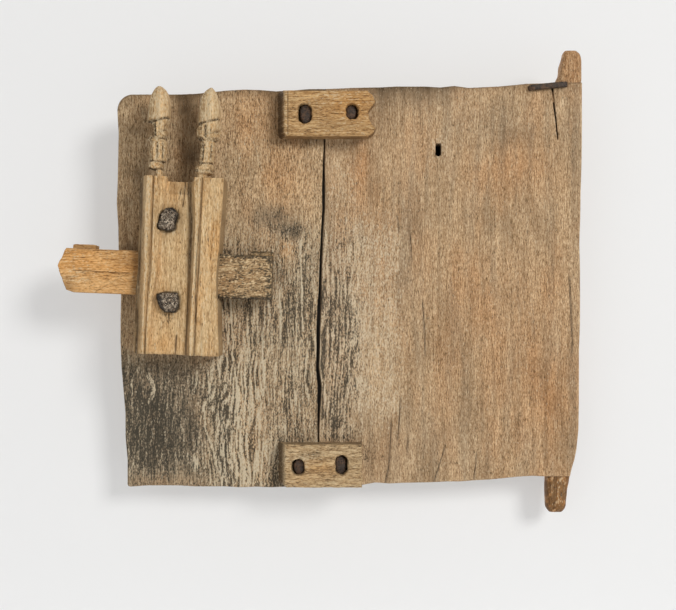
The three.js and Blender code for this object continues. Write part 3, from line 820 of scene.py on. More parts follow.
@dataclass(frozen=True)
class IronFinish:
    """Old forged iron, dark with brown rust in its hollows.

    Attributes:
        name: The material's name.
        dark: The colour of the bare, darkened iron.
        rust: The colour of the rust.
        worn: The colour where it is rubbed.
        rubbed: How plain the rubbed spots are.
        lined: How plain the worn edges of its folds are.
        pitted: The size of its pits in mm.
        pit: The colour in its pits.
        seam: The colour where it meets the wood, also painted shade on the spike heads.
    """

    name: str
    dark: Colour = (58, 47, 39)
    rust: Colour = (90, 66, 48)
    worn: Colour = (122, 106, 90)
    rubbed: float = 0.16
    lined: float = 0.0
    pitted: float = 1.7
    pit: Colour = (28, 24, 20)
    seam: Colour = (26, 21, 17)

    def material(self) -> bpy.types.Material:
        """Build the material: rust by coarse noise, rubbed spots and pits by fine noise.

        Its folds have worn edges where a swirling noise is near its middle.

        Returns:
            The material.
        """
        pad = Pad(self.name)
        whole = (1.0, 1.0, 1.0)
        coarse = pad.noise(whole, 7.0, 4.0, 0.9)
        fine = pad.noise(whole, self.pitted, 2.0, 2.2)
        swirl = pad.noise(whole, 4.2, 1.5, 7.4)
        colour = pad.mix(pad.step(coarse, 0.42, 0.62), linear(self.dark), linear(self.rust))
        nearness = pad.number("ABSOLUTE", pad.number("SUBTRACT", swirl, 0.5), 0.0)
        line = pad.number("MULTIPLY", pad.step(nearness, 0.04, 0.012), self.lined)
        colour = pad.mix(line, colour, linear(self.worn))
        polished = pad.number("MULTIPLY", pad.step(fine, 0.52, 0.66), self.rubbed)
        colour = pad.mix(polished, colour, linear(self.worn))
        colour = pad.mix(pad.step(fine, 0.45, 0.36), colour, linear(self.pit))
        # Painted shade: the gap mark darkens the seam with the wood and the spike heads' shaded rims and
        # flanks.
        colour = pad.mix(pad.mark("gap"), colour, linear(self.seam))
        pad.links.new(colour, pad.shader.inputs["Base Color"])
        pad.shader.inputs["Metallic"].default_value = 0.25
        dull = pad.number("ADD", pad.number("MULTIPLY", coarse, 0.35), 0.45)
        pad.links.new(dull, pad.shader.inputs["Roughness"])
        pad.relief(pad.shared((0.6, coarse), (0.5, fine), (0.5, line)), 0.9, 0.9)
        return pad.material


@dataclass(frozen=True)
class Finishes:
    """The door's materials, made once."""

    left_plank: bpy.types.Material
    right_plank: bpy.types.Material
    top_cleat: bpy.types.Material
    bottom_cleat: bpy.types.Material
    lock: bpy.types.Material
    bolt: bpy.types.Material
    horn: bpy.types.Material
    iron: bpy.types.Material
    spike_iron: bpy.types.Material


def make_finishes() -> Finishes:
    """Make every material of the door.

    Returns:
        The materials.
    """
    across = Grain.ACROSS
    return Finishes(
        left_plank=WoodFinish(
            "dark_plank_wood", (181, 151, 114), (110, 89, 62), (226, 202, 165), (255, 224, 192),
            bleached_and_lit=(206, 192, 165), contrast=1.25, relief=0.7, width=1.05,
        ).material(),
        right_plank=WoodFinish(
            "brown_plank_wood", (181, 149, 112), (120, 94, 63), (224, 197, 160), (255, 226, 198),
            bleached_and_lit=(212, 194, 165), contrast=1.05, relief=0.6, width=1.1,
        ).material(),
        top_cleat=WoodFinish(
            "top_cleat_wood", (186, 152, 107), (120, 92, 56), (222, 196, 150), (255, 226, 184),
            grain=across, width=1.3,
        ).material(),
        bottom_cleat=WoodFinish(
            "bottom_cleat_wood", (184, 157, 118), (122, 98, 68), (220, 198, 160), (255, 228, 190),
            grain=across, width=1.3, contrast=1.25,
        ).material(),
        lock=WoodFinish(
            "carved_lock_wood", (204, 174, 130), (150, 120, 80), (236, 214, 174), (255, 228, 194),
            contrast=0.9,
        ).material(),
        bolt=WoodFinish(
            "bolt_wood", (206, 168, 116), (138, 104, 66), (236, 206, 160), (255, 222, 176),
            bleached_and_lit=(222, 198, 158), grain=across,
        ).material(),
        horn=WoodFinish(
            "horn_wood", (158, 120, 72), (84, 60, 36), (196, 164, 122), (255, 216, 168),
            roughness=0.55,
        ).material(),
        iron=IronFinish("old_iron").material(),
        spike_iron=IronFinish(
            "spike_iron", (96, 84, 70), (112, 94, 76), (206, 190, 168), rubbed=0.3, lined=1.0,
            pitted=2.8,
        ).material(),
    )


# Pieces


@dataclass(frozen=True)
class Part:
    """How a finished piece belongs to the door.

    Attributes:
        name: The piece's name.
        node: The frame's node that the piece stands for.
        slot: The name of a material slot in the record; it is not used.
        body: The body that it moves with.
        crease: The angle in degrees above which an edge stays sharp.
    """

    name: str
    node: str
    slot: str
    body: Body = Body.DOOR
    crease: float = 50.0


def place_part(
    part: Part, points: Array, faces: Faces, material: bpy.types.Material, marks: Marks | None = None
) -> bpy.types.Object:
    """Make a mesh piece, attach it to its body and hide the frame's node that it stands for.

    Args:
        part: How the piece belongs to the door.
        points: The points in mm, in the frame's axes.
        faces: The faces, as lists of point numbers.
        material: The finish.
        marks: Numbers kept at each point, by name.

    Returns:
        The new object.
    """
    mesh = bpy.data.meshes.new(part.name)
    mesh.from_pydata((points * MM).tolist(), [], faces)
    for name, values in (marks or {}).items():
        layer = mesh.attributes.new(name, "FLOAT", "POINT")
        layer.data.foreach_set("value", np.clip(values, 0, 1).astype(np.float32))
    mesh.update()
    mesh.polygons.foreach_set("use_smooth", np.ones(len(mesh.polygons), dtype=bool))
    mesh.set_sharp_from_angle(angle=math.radians(part.crease))
    mesh.materials.append(material)
    piece = bpy.data.objects.new(part.name, mesh)
    bpy.context.scene.collection.objects.link(piece)
    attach(piece, part.body.value)
    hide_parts(part.node)
    LOG.info("%s: %d points, %d faces", part.name, len(points), len(faces))
    return piece


@dataclass(frozen=True)
class Patches:
    """Soft oval patches of weathering and painted shadow, by the mark that they add to.

    A patch is its strength, its centre, and its reach across and up.
    """

    dirt: tuple[Patch, ...] = ()
    bare: tuple[Patch, ...] = ()
    warmth: tuple[Patch, ...] = ()
    dull: tuple[Patch, ...] = ()
    stain_and_shade: tuple[Patch, ...] = ()

    def at(self, x: Array, z: Array) -> Marks:
        """Sum each mark's patches at each place."""
        return {mark.name: patched(getattr(self, mark.name), x, z) for mark in fields(self)}


@dataclass(frozen=True)
class Edge:
    """A hewn edge: a straight line between two ends, and how far it wanders from it.

    Attributes:
        ends: Where it starts and ends.
        at: Its place at each end.
        wander: How far it stands from the straight line, evenly spaced.
    """

    ends: Pair
    at: Pair
    wander: tuple[float, ...]

    def along(self, value: Array) -> Array:
        """Give the edge's place: the straight line's and the wander's, summed."""
        return np.interp(value, self.ends, self.at) + evenly(self.wander, *self.ends, value)


@dataclass(frozen=True)
class Texture:
    """The wood's own pattern at each place.

    Attributes:
        ridge: Ridges, from about -1 to 1.
        fine: Fine grooves along the grain.
        tone: Threads and specks, summed.
        specks: Specks alone.
    """

    ridge: Array
    fine: Array
    tone: Array
    specks: Array


@dataclass(frozen=True)
class Fibres:
    """How one plank's fibres lie, with each pattern's width and height in mm.

    Attributes:
        spacing: The distance between ridges.
        sway: How far ridges wander together, counted in spacings.
        sway_size: Over which width and height they do.
        waver: How far single ridges wander.
        waver_size: Over which width and height they do.
        plain: How plain a ridge stays where the ridges fade.
        fading: The size of the places where they fade.
        splinter: The size of the splinters beside them.
        groove: The size of fine grooves.
        thread: The size of threads.
        tone: How much threads and specks count.
        seeds: The seeds of sway, waver, fading, splinters, grooves, threads and specks.
    """

    spacing: float
    sway: float
    sway_size: Pair
    waver: float
    waver_size: Pair
    plain: float
    fading: Pair
    splinter: Pair
    groove: Pair
    thread: Pair
    tone: Pair
    seeds: tuple[int, ...]

    def at(self, x: Array, z: Array, across: Array, wavy: Array) -> Texture:
        """Give the pattern at each place.

        A ridge is the cosine of the place across, counted in spacings and warped by noise. It
        fades where slow noise is low.

        Args:
            x: Places across the plank.
            z: Places up.
            across: Places across the grain.
            wavy: Places across the grain where it also bends round knots.

        Returns:
            The pattern.
        """

        def noise(places: Array, size: Pair, seed: int, octaves: int = 3) -> Array:
            """Give noise of one size, with its own seed."""
            return rough(places / size[0], z / size[1], seed, octaves)

        speck_size = (2.2, 2.9)
        sway, waver, fading, splinter, groove, thread, speck = self.seeds
        phase = wavy / self.spacing + self.sway * noise(x, self.sway_size, sway)
        phase += self.waver * noise(across, self.waver_size, waver)
        gate = rise(-0.35, 0.5, noise(across, self.fading, fading, 2))
        ridge = np.cos(2 * math.pi * phase) * (self.plain + (1 - self.plain) * gate)
        ridge += 0.35 * noise(wavy, self.splinter, splinter)
        specks = noise(x, speck_size, speck, 1)
        tone = self.tone[0] * noise(across, self.thread, thread) + self.tone[1] * specks
        return Texture(ridge, noise(across, self.groove, groove), tone, specks)


@dataclass
class Leaf:
    """The two planks, hewn and weathered, with the pivot horns on the right one.

    Ridges, cracks and patches are placed by the front view's columns and rows.
    """

    thick: float = 34.0
    arris: float = 2.5
    lean: float = 10.0
    split_top: Pair = (-302, 553)
    split_foot: Pair = (-310, 34.4)
    split_wander: tuple = (
        0.4, 0.6, 0.9, 0.9, 0.6, 0.8, 1.3, 0, -0.9, -1.5, -1.8, -2.4, -3.2, -3, -3.4, -0.3, -0.7,
        -1.3, -0.7, -0.2, 0.3,
    )
    split_gape: tuple = (
        1.3, 1.3, 1.3, 1.6, 2.3, 3.8, 3.2, 2.6, 2.7, 2.9, 3.1, 4.5, 4.7, 4, 3.9, 5.1, 3.4, 1.9, 1.6,
        1.5, 1.3,
    )
    left_side: Edge = Edge(
        (38.8, 525.5), (-558.4, -572),
        (-0.6, 0.3, -1.5, -0.7, -2.5, -4.2, -4.6, -3.8, -2.2, -3, -3.7, -3.3, -4.4, -2.3, -0.8, 0.5, -0.2),
    )
    left_top: Edge = Edge(
        (-552, -302), (545.5, 553), (-0.2, -0.8, -1.4, -2, -1.7, -0.1, 1.4, 1.9, 0.6, -1.7, -1.2, -0.1, -0.5)
    )
    left_bottom: Edge = Edge(
        (-553, -310), (33.8, 34.4), (0.6, 1.9, 1.9, 1.8, 0.5, 0.4, 0.4, -0.9, -0.1, -1, -0.1, -0.5, 0.1)
    )
    right_top: Edge = Edge(
        (-302, -1.3), (553, 561),
        (-0.5, -0.4, 0, -0.1, -0.3, 0.3, -0.3, -0.8, -2.5, -1, -4.1, -3.6, -3.3, -2.1, -0.7, -0.7, 0),
    )
    right_bottom: Edge = Edge(
        (-310, -13), (34.4, 47.5),
        (0, 0.9, 1.9, -0.6, 2, -0.1, 0, -0.5, -0.9, -0.8, -1.5, -0.8, -0.7, 0.3, 1.4, 1.7, 0),
    )
    stile: Edge = Edge(
        (108.6, 557), (28.6, 33.2), (0, 0.3, 0, -0.3, 0.7, 0.4, 0.1, -1.2, -0.4, -0.2, 0.5, 0.6, 0.3, 0)
    )
    worn_foot: Path = ((17.5, 47.5), (19.5, 56.6), (23.4, 69.6), (26, 82.6), (27.3, 95.6), (28.6, 108.6))
    left_fibres: Fibres = Fibres(
        spacing=6.4, sway=0.9, sway_size=(30, 150), waver=0.25, waver_size=(5, 40), plain=0.35,
        fading=(11, 46), splinter=(3.1, 22), groove=(2.4, 40), thread=(1.9, 42), tone=(0.62, 0.6),
        seeds=(13, 15, 17, 18, 19, 33, 35),
    )
    right_fibres: Fibres = Fibres(
        spacing=5.6, sway=0.8, sway_size=(26, 140), waver=0.3, waver_size=(4, 36), plain=0.4,
        fading=(9, 40), splinter=(2.5, 20), groove=(2.2, 48), thread=(1.9, 44), tone=(0.6, 0.5),
        seeds=(43, 45, 46, 47, 41, 55, 57),
    )
    left_patches: Patches = Patches(
        dirt=(
            (0.4, (150, 432), (26, 42)), (0.44, (279, 213), (9, 7)), (0.4, (293, 230), (12, 7)),
            (0.2, (300, 300), (10, 60)), (0.2, (304, 375), (12, 30)), (0.22, (292, 432), (16, 22)),
            (0.4, (279, 462), (8, 26)), (0.3, (146, 394), (15, 16)),
        ),
        bare=((0.6, (194, 463), (4, 5)), (0.3, (290, 372), (5, 5)), (0.2, (300, 396), (8, 8))),
        warmth=(
            (0.5, (262, 120), (40, 32)), (0.5, (285, 180), (24, 34)), (0.6, (287, 250), (9, 12)),
            (0.3, (240, 270), (16, 20)), (0.3, (228, 345), (8, 60)), (0.3, (160, 482), (30, 6)),
            (0.4, (180, 155), (8, 14)), (0.3, (262, 400), (16, 40)),
        ),
        dull=((-0.3, (287, 250), (10, 14)),),
        # The two stain patches at columns 189 and 190, between the figures, are partly stain and partly
        # painted shadow of the right figure.
        stain_and_shade=(
            (0.4, (190, 112), (13, 26)), (0.36, (189, 160), (11, 14)), (-0.35, (176, 152), (7, 12)),
            (0.2, (127, 102), (14, 8)), (0.12, (275, 165), (40, 12)),
        ),
    )
    right_patches: Patches = Patches(
        dirt=(
            (0.16, (350, 330), (12, 60)), (0.4, (338, 420), (6, 8)), (0.5, (366, 458), (3, 14)),
            (0.24, (376, 455), (8, 12)), (0.12, (372, 128), (6, 14)),
        ),
        bare=((0.35, (438, 148), (8, 14)), (0.1, (480, 120), (50, 20))),
        warmth=(
            (0.5, (362, 170), (10, 30)), (0.3, (380, 240), (12, 60)), (0.3, (540, 360), (44, 90)),
            (0.5, (552, 405), (22, 34)), (0.35, (520, 170), (40, 28)), (0.22, (470, 300), (40, 50)),
        ),
        dull=((0.2, (480, 125), (50, 20)), (0.2, (410, 440), (60, 50))),
        stain_and_shade=(
            (0.22, (385, 112), (16, 24)), (0.2, (520, 135), (26, 10)), (0.16, (450, 330), (8, 40)),
            (0.25, (560, 450), (16, 30)), (0.3, (336, 148), (14, 6)), (0.3, (366, 95), (9, 20)),
        ),
    )
    smudges: tuple[Patch, ...] = ((1, (270, 216), (20, 11)), (1, (292, 231), (14, 10)))
    pale_ridges: tuple = (
        (((207, 371), (210, 397), (203, 407), (205, 430), (211, 445), (214, 458)), 1.0),
        (((211, 366), (212.5, 380), (212, 404)), 0.6),
        (((230, 300), (232.5, 352), (236, 385), (237.5, 420), (241, 440), (243, 470)), 1.0),
        (((224.5, 300), (226, 325), (229, 347)), 0.8),
        (((219, 456), (221, 470), (222, 486)), 0.9),
        (((224, 455), (225, 470), (226, 486)), 0.8),
        (((231, 452), (232, 470), (233, 486)), 0.9),
        (((239, 455), (244, 470), (251, 484)), 0.8),
        (((262, 332), (263, 360), (264, 398)), 0.7),
        (((246, 345), (248, 380), (249, 420)), 0.5),
        (((198, 370), (194, 384), (193, 396)), 0.6),
        (((270, 250), (269, 300), (272, 352)), 0.6),
        (((300, 240), (302, 290), (303, 330)), 0.6),
        (((279, 268), (280, 300), (281, 345)), 0.5),
        (((293, 420), (298, 432), (306, 438)), 0.5),
        (((147, 374), (152, 380), (155, 388), (153, 396), (149, 403)), 1.0),
        (((146, 376), (150.5, 382), (153, 388), (151, 395), (148, 402)), 1.0),
        (((139, 368), (134, 374), (131, 383), (133, 394)), 0.7),
        (((127, 350), (129, 360), (128, 372)), 0.6),
        (((196, 372), (197, 381), (193, 390)), 0.9),
        (((188, 376), (187, 384), (190, 394)), 0.6),
        (((194, 455), (195, 463), (194, 471)), 1.0),
        (((197, 456), (197.5, 463), (197, 470)), 0.8),
    )
    slot: tuple = (-154.0, 473.0, 3.5, 8.0)
    slot_deep: float = 24.0
    top_crack: Path = ((318.5, 118), (318.2, 140))
    staple_crack: Path = ((1, 485.6), (-1, 512), (-3, 526), (-5.5, 551), (-6, 561))
    staple_crack_deep: float = 8.0
    top_iron: tuple = (-334, -260, 511, 527)
    bottom_iron: tuple = (-342, -272, 58, 74)
    upper_tail: tuple = (-505, -491, 372, 402)
    lower_tail: tuple = (-505, -490, 264, 296)
    horn_exponent: float = 3.6
    lower_horn_tall: float = 47.5
    lower_horn: tuple = (
        (-0.9, -10, 21, 15.5), (-0.4, -12, 21, 15.5), (0, -12.4, 19.6, 13.5), (0.3, -12.6, 17, 12.8),
        (0.63, -12.6, 14.6, 12.3), (0.87, -12, 13.6, 11.5), (0.97, -9.5, 11, 9), (1, -7, 8, 7),
    )
    upper_horn_foot: float = 561.0
    upper_horn_tall: float = 43.0
    upper_horn: tuple = (
        (-0.6, -16, 32, 15.5), (-0.24, -8, 33, 15.2), (0, -0.8, 34.2, 14.6), (0.25, 4.6, 34.6, 13.6),
        (0.53, 6, 34.6, 13), (0.81, 9.6, 34, 12.4), (0.94, 10.4, 32, 10.8), (1, 13, 27.5, 7.5),
    )
    cracks: tuple = (
        ((569.2, 274), (571, 305), (572.5, 340), (571.7, 356)),
        ((445.4, 445), (441, 460), (433.9, 482)),
        ((476.9, 452), (475.5, 466), (474, 482)),
        ((391.2, 418), (390.6, 440), (389, 465), (385, 484)),
        ((401, 396), (399.5, 416), (397.5, 442)),
        ((422.4, 300), (424.5, 330), (425.3, 356)),
        ((408, 436), (407, 452)),
        ((397, 214), (399, 232)),
        ((410, 232), (412, 262)),
        ((434.5, 152), (436.5, 158)),
    )

    def _split(self, z: Array, side: float) -> Array:
        """Give a side of the split, as the front shows it.

        Args:
            z: Heights.
            side: -1 for the left side and 1 for the right side.

        Returns:
            The side's place across at each height.
        """
        (top_x, top_z), (foot_x, foot_z) = self.split_top, self.split_foot
        heights = np.linspace(top_z, foot_z, len(self.split_wander))[::-1]
        straight = np.linspace(top_x, foot_x, len(self.split_wander))
        middle = np.interp(z, heights, (straight + np.array(self.split_wander))[::-1])
        return middle + side * np.interp(z, heights, self.split_gape[::-1]) / 2

    @staticmethod
    def _worn_corner(x: Array, start: float, wide: float, tall: float) -> Array:
        """Give how far a corner at the left is worn down: a quarter circle, stretched."""
        share = np.clip(1 - (x - start) / wide, 0, 1)
        return tall * (1 - np.sqrt(1 - share**2))

    def _left_edges(self, x: Array, z: Array) -> tuple[Array, Array, Array, Array]:
        """Give the left plank's edges, with its round upper corner and its worn foot.

        Args:
            x: Places across.
            z: Places up.

        Returns:
            The left, right, bottom and top at each place.
        """
        top = self.left_top.along(x) - self._worn_corner(x, -572, 20, 20)
        bottom = self.left_bottom.along(x) + self._worn_corner(x, -559, 4, 3)
        return self.left_side.along(z), self._split(z, -1), bottom, top

    def _right_edges(self, x: Array, z: Array) -> tuple[Array, Array, Array, Array]:
        """Give the right plank's edges, with its foot worn towards the lower horn.

        Args:
            x: Places across.
            z: Places up.

        Returns:
            The left, right, bottom and top at each place.
        """
        foot_x, foot_z = np.array(self.worn_foot).T
        right = np.where(z < foot_z[-1], np.interp(z, foot_z, foot_x), self.stile.along(z))
        return self._split(z, 1), right, self.right_bottom.along(x), self.right_top.along(x)

    @staticmethod
    def _grain(x: Array, z: Array) -> Array:
        """Give the place across the grain, which wanders slowly along the plank."""
        return x + 5 * rough(x / 95, z / 230, 3) + 1.2 * rough(x / 22, z / 90, 5)

    def _pale_lines(self, x: Array, z: Array) -> tuple[Array, Array]:
        """Give the plainest pale ridges, and the dark at both sides of each.

        Args:
            x: Places across.
            z: Places up.

        Returns:
            How far each place is on a ridge, and how far it is beside one.
        """
        c, r = seen(x, z)
        shaky = c + 0.9 * rough(x / 6, z / 16, 25)
        on_line, near_line = np.zeros_like(x), np.zeros_like(x)
        half, half_near = 1.2, 2.9
        for path, strength in self.pale_ridges:
            on_line = np.maximum(on_line, strength * np.sqrt(crack_at(shaky, r, path, half)))
            near_line = np.maximum(near_line, strength * crack_at(shaky, r, path, half_near))
        return on_line, near_line * (1 - on_line)

    def _left_marks(self, x: Array, z: Array) -> tuple[Array, Marks]:
        """Give the left plank's front relief in mm, its weathering and some painted shade.

        Relief is the sum of fine grooves and, where the wood is eroded, ridges. Soot lies in the
        grooves and bare wood on the ridges. Streaks, a charred patch and a wavy stretch have
        their own zones, soft at their edges.

        Args:
            x: Places across.
            z: Places up.

        Returns:
            The depth of the surface below the front, and the marks.
        """
        c, r = seen(x, z)
        across = self._grain(x, z)
        bends = ((9, (212, 425), (24, 34)), (-8, (204, 384), (14, 28)))
        wavy = across + 5 * rough(x / 34, z / 75, 11) + patched(bends, c, r)
        wood = self.left_fibres.at(x, z, across, wavy)
        ridge, tone = wood.ridge, wood.tone
        patches = self.left_patches.at(c, r)

        eroded = rise(205, 300, r + 0.55 * (c - 300) * (c < 300)) * rise(118, 150, c)
        eroded = np.clip(eroded + 0.5 * band(215, 320, 14, c) * rise(200, 250, r), 0, 1)
        charcoal = rise(340, 375, r) * (1 - rise(180, 240, c + 16 * rough(x / 40, z / 40, 29)))
        charcoal *= 1 - 0.55 * rise(460, 486, r - 6 * rough(x / 20, z / 60, 28))
        streaky = band(216, 322, 10, c) * rise(205, 270, r - 10 * rough(x / 9, z / 60, 31))
        under_bolt = band(216, 322, 8, c) * band(300, 345, 12, r)
        waves = band(196, 258, 12, c) * rise(345, 372, r)
        crest, beside = self._pale_lines(x, z)
        knot = spot(c, r, (148, 388), (9, 11))
        from_knot = np.hypot(c - 148, (r - 388) / 1.3)
        ring = np.sin(from_knot * 1.2 + 2.6 * rough(x / 9, z / 9, 21))
        clouds = rough(x / 15, z / 60, 39, 2)
        smudge = patched(self.smudges, c, r)
        above = 1 - rise(250, 330, r)
        ragged_top = r + 2 * rough(x / 12, z / 9, 37)

        depth = 0.3 * (1 - wood.fine) * (0.4 + eroded) + 0.5 * eroded * (0.5 - tone)
        depth += 0.8 * eroded * (0.6 - 0.5 * ridge) + 0.8 * beside - 0.3 * crest
        depth += 1.5 * knot * (0.4 + 0.5 * ring)

        dirt = patches["dirt"] - 0.08 * tone
        dirt += charcoal * (0.46 - 0.6 * tone - 0.12 * ridge)
        dirt += streaky * (0.27 - 0.4 * tone - 0.38 * ridge + 0.34 * clouds)
        dirt += under_bolt * (0.14 - 0.2 * tone)
        dirt += waves * (0.2 - 0.22 * tone - 0.34 * ridge)
        dirt += 0.5 * beside - 0.8 * crest - 0.7 * knot * (ring > 0.35)
        dirt += 0.4 * spot(c - 1.6 * (r - 225), r, (268, 225), (13, 9))
        dirt += 0.2 * (1 - rise(121, 131, c)) * rise(285, 305, r)
        dirt += 0.16 * band(262, 318, 7, c) * band(143, 149, 6, r)
        dirt += 0.3 * (1 - rise(90, 95, ragged_top)) * rise(150, 190, c)
        dirt += 0.2 * rise(484, 488, r) - 0.25 * band(236, 260, 10, c) * rise(340, 390, r)

        # Painted shade of shallow hewn hollows, over a stain in the upper left.
        hollow_shade = rise(-0.2, 0.7, rough(x / 42, z / 24, 36, 2))
        stain_and_shade = patches["stain_and_shade"] + 0.36 * (1 - rise(205, 226, c)) * above * (0.3 + 0.7 * hollow_shade)
        stain_and_shade += 0.3 * smudge + 0.24 * charcoal + 0.3 * (1 - rise(91, 104, r))
        stain_and_shade += 0.35 * rise(255, 274, c) * (1 - rise(140, 150, r))

        grain_arches = np.abs(np.abs(c - 249) * 3.2 - (r - 128)) < 2.2
        bare = patches["bare"] + 0.06 + 0.16 * tone + 0.08 * rise(205, 225, c)
        bare += streaky * (0.14 + 0.36 * tone + 0.36 * ridge - 0.2 * clouds)
        bare += waves * (0.14 + 0.2 * tone + 0.34 * ridge)
        bare += 0.85 * crest - 0.1 * charcoal + 0.5 * charcoal * rise(0.05, 0.5, tone)
        bare += 0.6 * knot * (ring > 0.5) * rise(0, 6, c - 146)
        bare += 0.12 * band(236, 262, 10, c) * rise(330, 380, r)
        bare += 0.4 * spot(c, r, (195, 381), (6, 8)) * (wood.specks > -0.2)
        bare += 0.2 * spot(c, r, (133, 357), (7, 7)) * (wood.specks > 0)
        bare += 0.3 * grain_arches * band(136, 172, 5, r) * (np.abs(c - 249) < 16)
        bare -= 0.3 * np.clip(stain_and_shade, 0, 1) * above
        stain_and_shade += 0.11 * rise(-0.1, 0.6, rough(x / 16, z / 70, 38)) * (1 + eroded)

        dull = patches["dull"] + 0.9 * charcoal + 0.2 * streaky + 0.6 * smudge + 0.2 * eroded
        dull += 0.25 * (1 - rise(128, 140, c)) * rise(280, 310, r)
        dull -= 0.35 * band(235, 262, 12, c) * rise(330, 400, r)
        gap = 0.8 * crack_at(c, r, self.top_crack, 0.8)
        return depth, {
            "dirt": dirt, "bare": bare, "warmth": patches["warmth"], "dull": dull, "gap": gap, "stain_and_shade": stain_and_shade,
        }

    def _right_marks(self, x: Array, z: Array) -> tuple[Array, Marks]:
        """Give the right plank's front relief in mm and its weathering.

        Streaks run beside the split, a pale stretch beside them, and cracks, the blind slot and
        the crack below the staple are cut in.

        Args:
            x: Places across.
            z: Places up.

        Returns:
            The depth of the surface below the front, and the marks.
        """
        c, r = seen(x, z)
        across = self._grain(x, z) + 12 * spot(c, r, (352, 420), (26, 60))
        wood = self.right_fibres.at(x, z, across, across)
        ridge, tone = wood.ridge, wood.tone
        patches = self.right_patches.at(c, r)

        reach = 358 + 9 * rough(z / 50, x / 300, 59) - 0.06 * np.abs(r - 350)
        streaky = (1 - rise(reach - 12, reach + 18, c)) * rise(172, 262, r - 14 * rough(x / 7, z / 60, 61))
        streaky *= 1 - rise(430, 450, r)
        pale_side = band(352, 402, 12, c) * rise(190, 250, r) * (1 - rise(400, 450, r))
        clouds = rough(x / 15, z / 60, 69, 2)
        from_knot = np.hypot(c - 479, (r - 189) * 1.1)
        knot = np.cos(from_knot * 1.15) * spot(c, r, (479, 189), (9, 9))

        depth = 0.26 * (1 - wood.fine) + 0.8 * streaky * (0.6 - 0.5 * ridge) - 0.16 * tone

        dirt = patches["dirt"] - 0.04 - 0.08 * tone
        dirt += streaky * (0.34 - 0.38 * tone - 0.46 * ridge + 0.3 * clouds)
        dirt += 0.2 * streaky * spot(c, r, (338, 350), (14, 60))
        dirt += 0.4 * band(323, 356, 3, c) * band(435, 442, 3, r)
        dirt += 0.34 * band(324, 348, 8, c) * band(142, 150, 6, r)
        dirt += 0.24 * (1 - rise(87, 92, r)) * (c < 470)
        dirt += 0.1 * (1 - rise(322, 330, c)) * rise(150, 220, r)
        dirt += 0.16 * rise(478, 484, r) + 0.1 * pale_side * (0.6 - tone)

        bare = patches["bare"] + 0.04 + 0.12 * tone + 0.12 * np.clip(knot, 0, 1)
        bare += streaky * (0.3 + 0.38 * tone + 0.42 * ridge) + pale_side * (0.4 + 0.22 * tone)
        bare += 0.2 * band(326, 356, 8, c) * band(160, 205, 14, r)

        dull = patches["dull"] + 0.35 * streaky + 0.2 * rise(566, 574, c)
        dull += 0.2 * band(396, 425, 12, c) * band(150, 330, 40, r)
        dull += 0.3 * band(372, 462, 14, c) * (1 - rise(90, 118, r))
        dull += 0.24 * rise(-0.1, 0.7, rough(across / 14, z / 140, 63, 2))

        ragged_top = r - 8 * rough(x / 30, z / 50, 67)
        stain_and_shade = patches["stain_and_shade"] + 0.4 * band(372, 455, 12, c) * (1 - rise(88, 112, ragged_top))
        stain_and_shade += 0.22 * (1 - rise(86, 94, r)) + 0.1 * np.clip(-knot, 0, 1)
        stain_and_shade += 0.2 * rise(-0.1, 0.7, rough(across / 9, z / 110, 65, 2))
        stain_and_shade += 0.12 * rise(-0.1, 0.6, rough(x / 44, z / 90, 66))

        gap = np.zeros_like(x)
        for path in self.cracks:
            line = crack_at(c, r, path, 1.0)
            gap = np.maximum(gap, 0.9 * line)
            depth += 0.9 * line
        in_slot, in_crack = self._in_slot(x, z), self._in_staple_crack(x, z)
        depth += self.slot_deep * rise(-0.4, 1.0, in_slot) + self.staple_crack_deep * in_crack
        gap = np.maximum(gap, rise(-0.6, 0.5, in_slot))
        gap = np.maximum(gap, rise(0, 0.4, in_crack))
        return depth, {
            "dirt": dirt, "bare": bare, "warmth": patches["warmth"], "dull": dull, "gap": gap, "stain_and_shade": stain_and_shade,
        }

    def _in_slot(self, x: Array, z: Array) -> Array:
        """Give how far a place lies inside the upright blind slot, in mm.

        Args:
            x: Places across.
            z: Places up.

        Returns:
            Half the width, less the distance from the slot's middle line.
        """
        slot_x, slot_z, half_wide, half_tall = self.slot
        beyond = np.maximum(np.abs(z - slot_z) - (half_tall - half_wide), 0)
        return half_wide - np.hypot(x - slot_x, beyond)

    def _in_staple_crack(self, x: Array, z: Array) -> Array:
        """Give how far a place lies in the crack below the staple, from 0 to 1.

        Args:
            x: Places across.
            z: Places up.

        Returns:
            One depth per place.
        """
        crack_x, crack_z = np.array(self.staple_crack).T
        middle = np.interp(z, crack_z, crack_x)
        half = np.interp(z, [484, 500, 561], [0.0, 0.9, 1.5])
        return line_at(x - middle, np.maximum(half, 0.01)) * (z > crack_z[0])

    @staticmethod
    def _hewn_back(x: Array, z: Array, irons: list[tuple]) -> Array:
        """Give how far the hewn back stands in: scallops of the adze, and dips round the irons.

        A scallop is the size of warped noise, whatever its sign.

        Args:
            x: Places across.
            z: Places up.
            irons: The left, right, bottom and top of each iron let in.

        Returns:
            One depth per place, in mm.
        """
        least, scallop, fuzz, dip, soft = 0.35, 0.9, 0.15, 1.3, 2.5
        cut = scallop * np.abs(ripple(x / 34 + 0.3 * ripple(z / 60, x / 80, 71), z / 62, 73))
        cut += fuzz * rough(x / 2.5, z / 40, 79)
        for low_x, high_x, low_z, high_z in irons:
            cut = np.maximum(cut, dip * band(low_x, high_x, soft, x) * band(low_z, high_z, soft, z))
        return least + cut

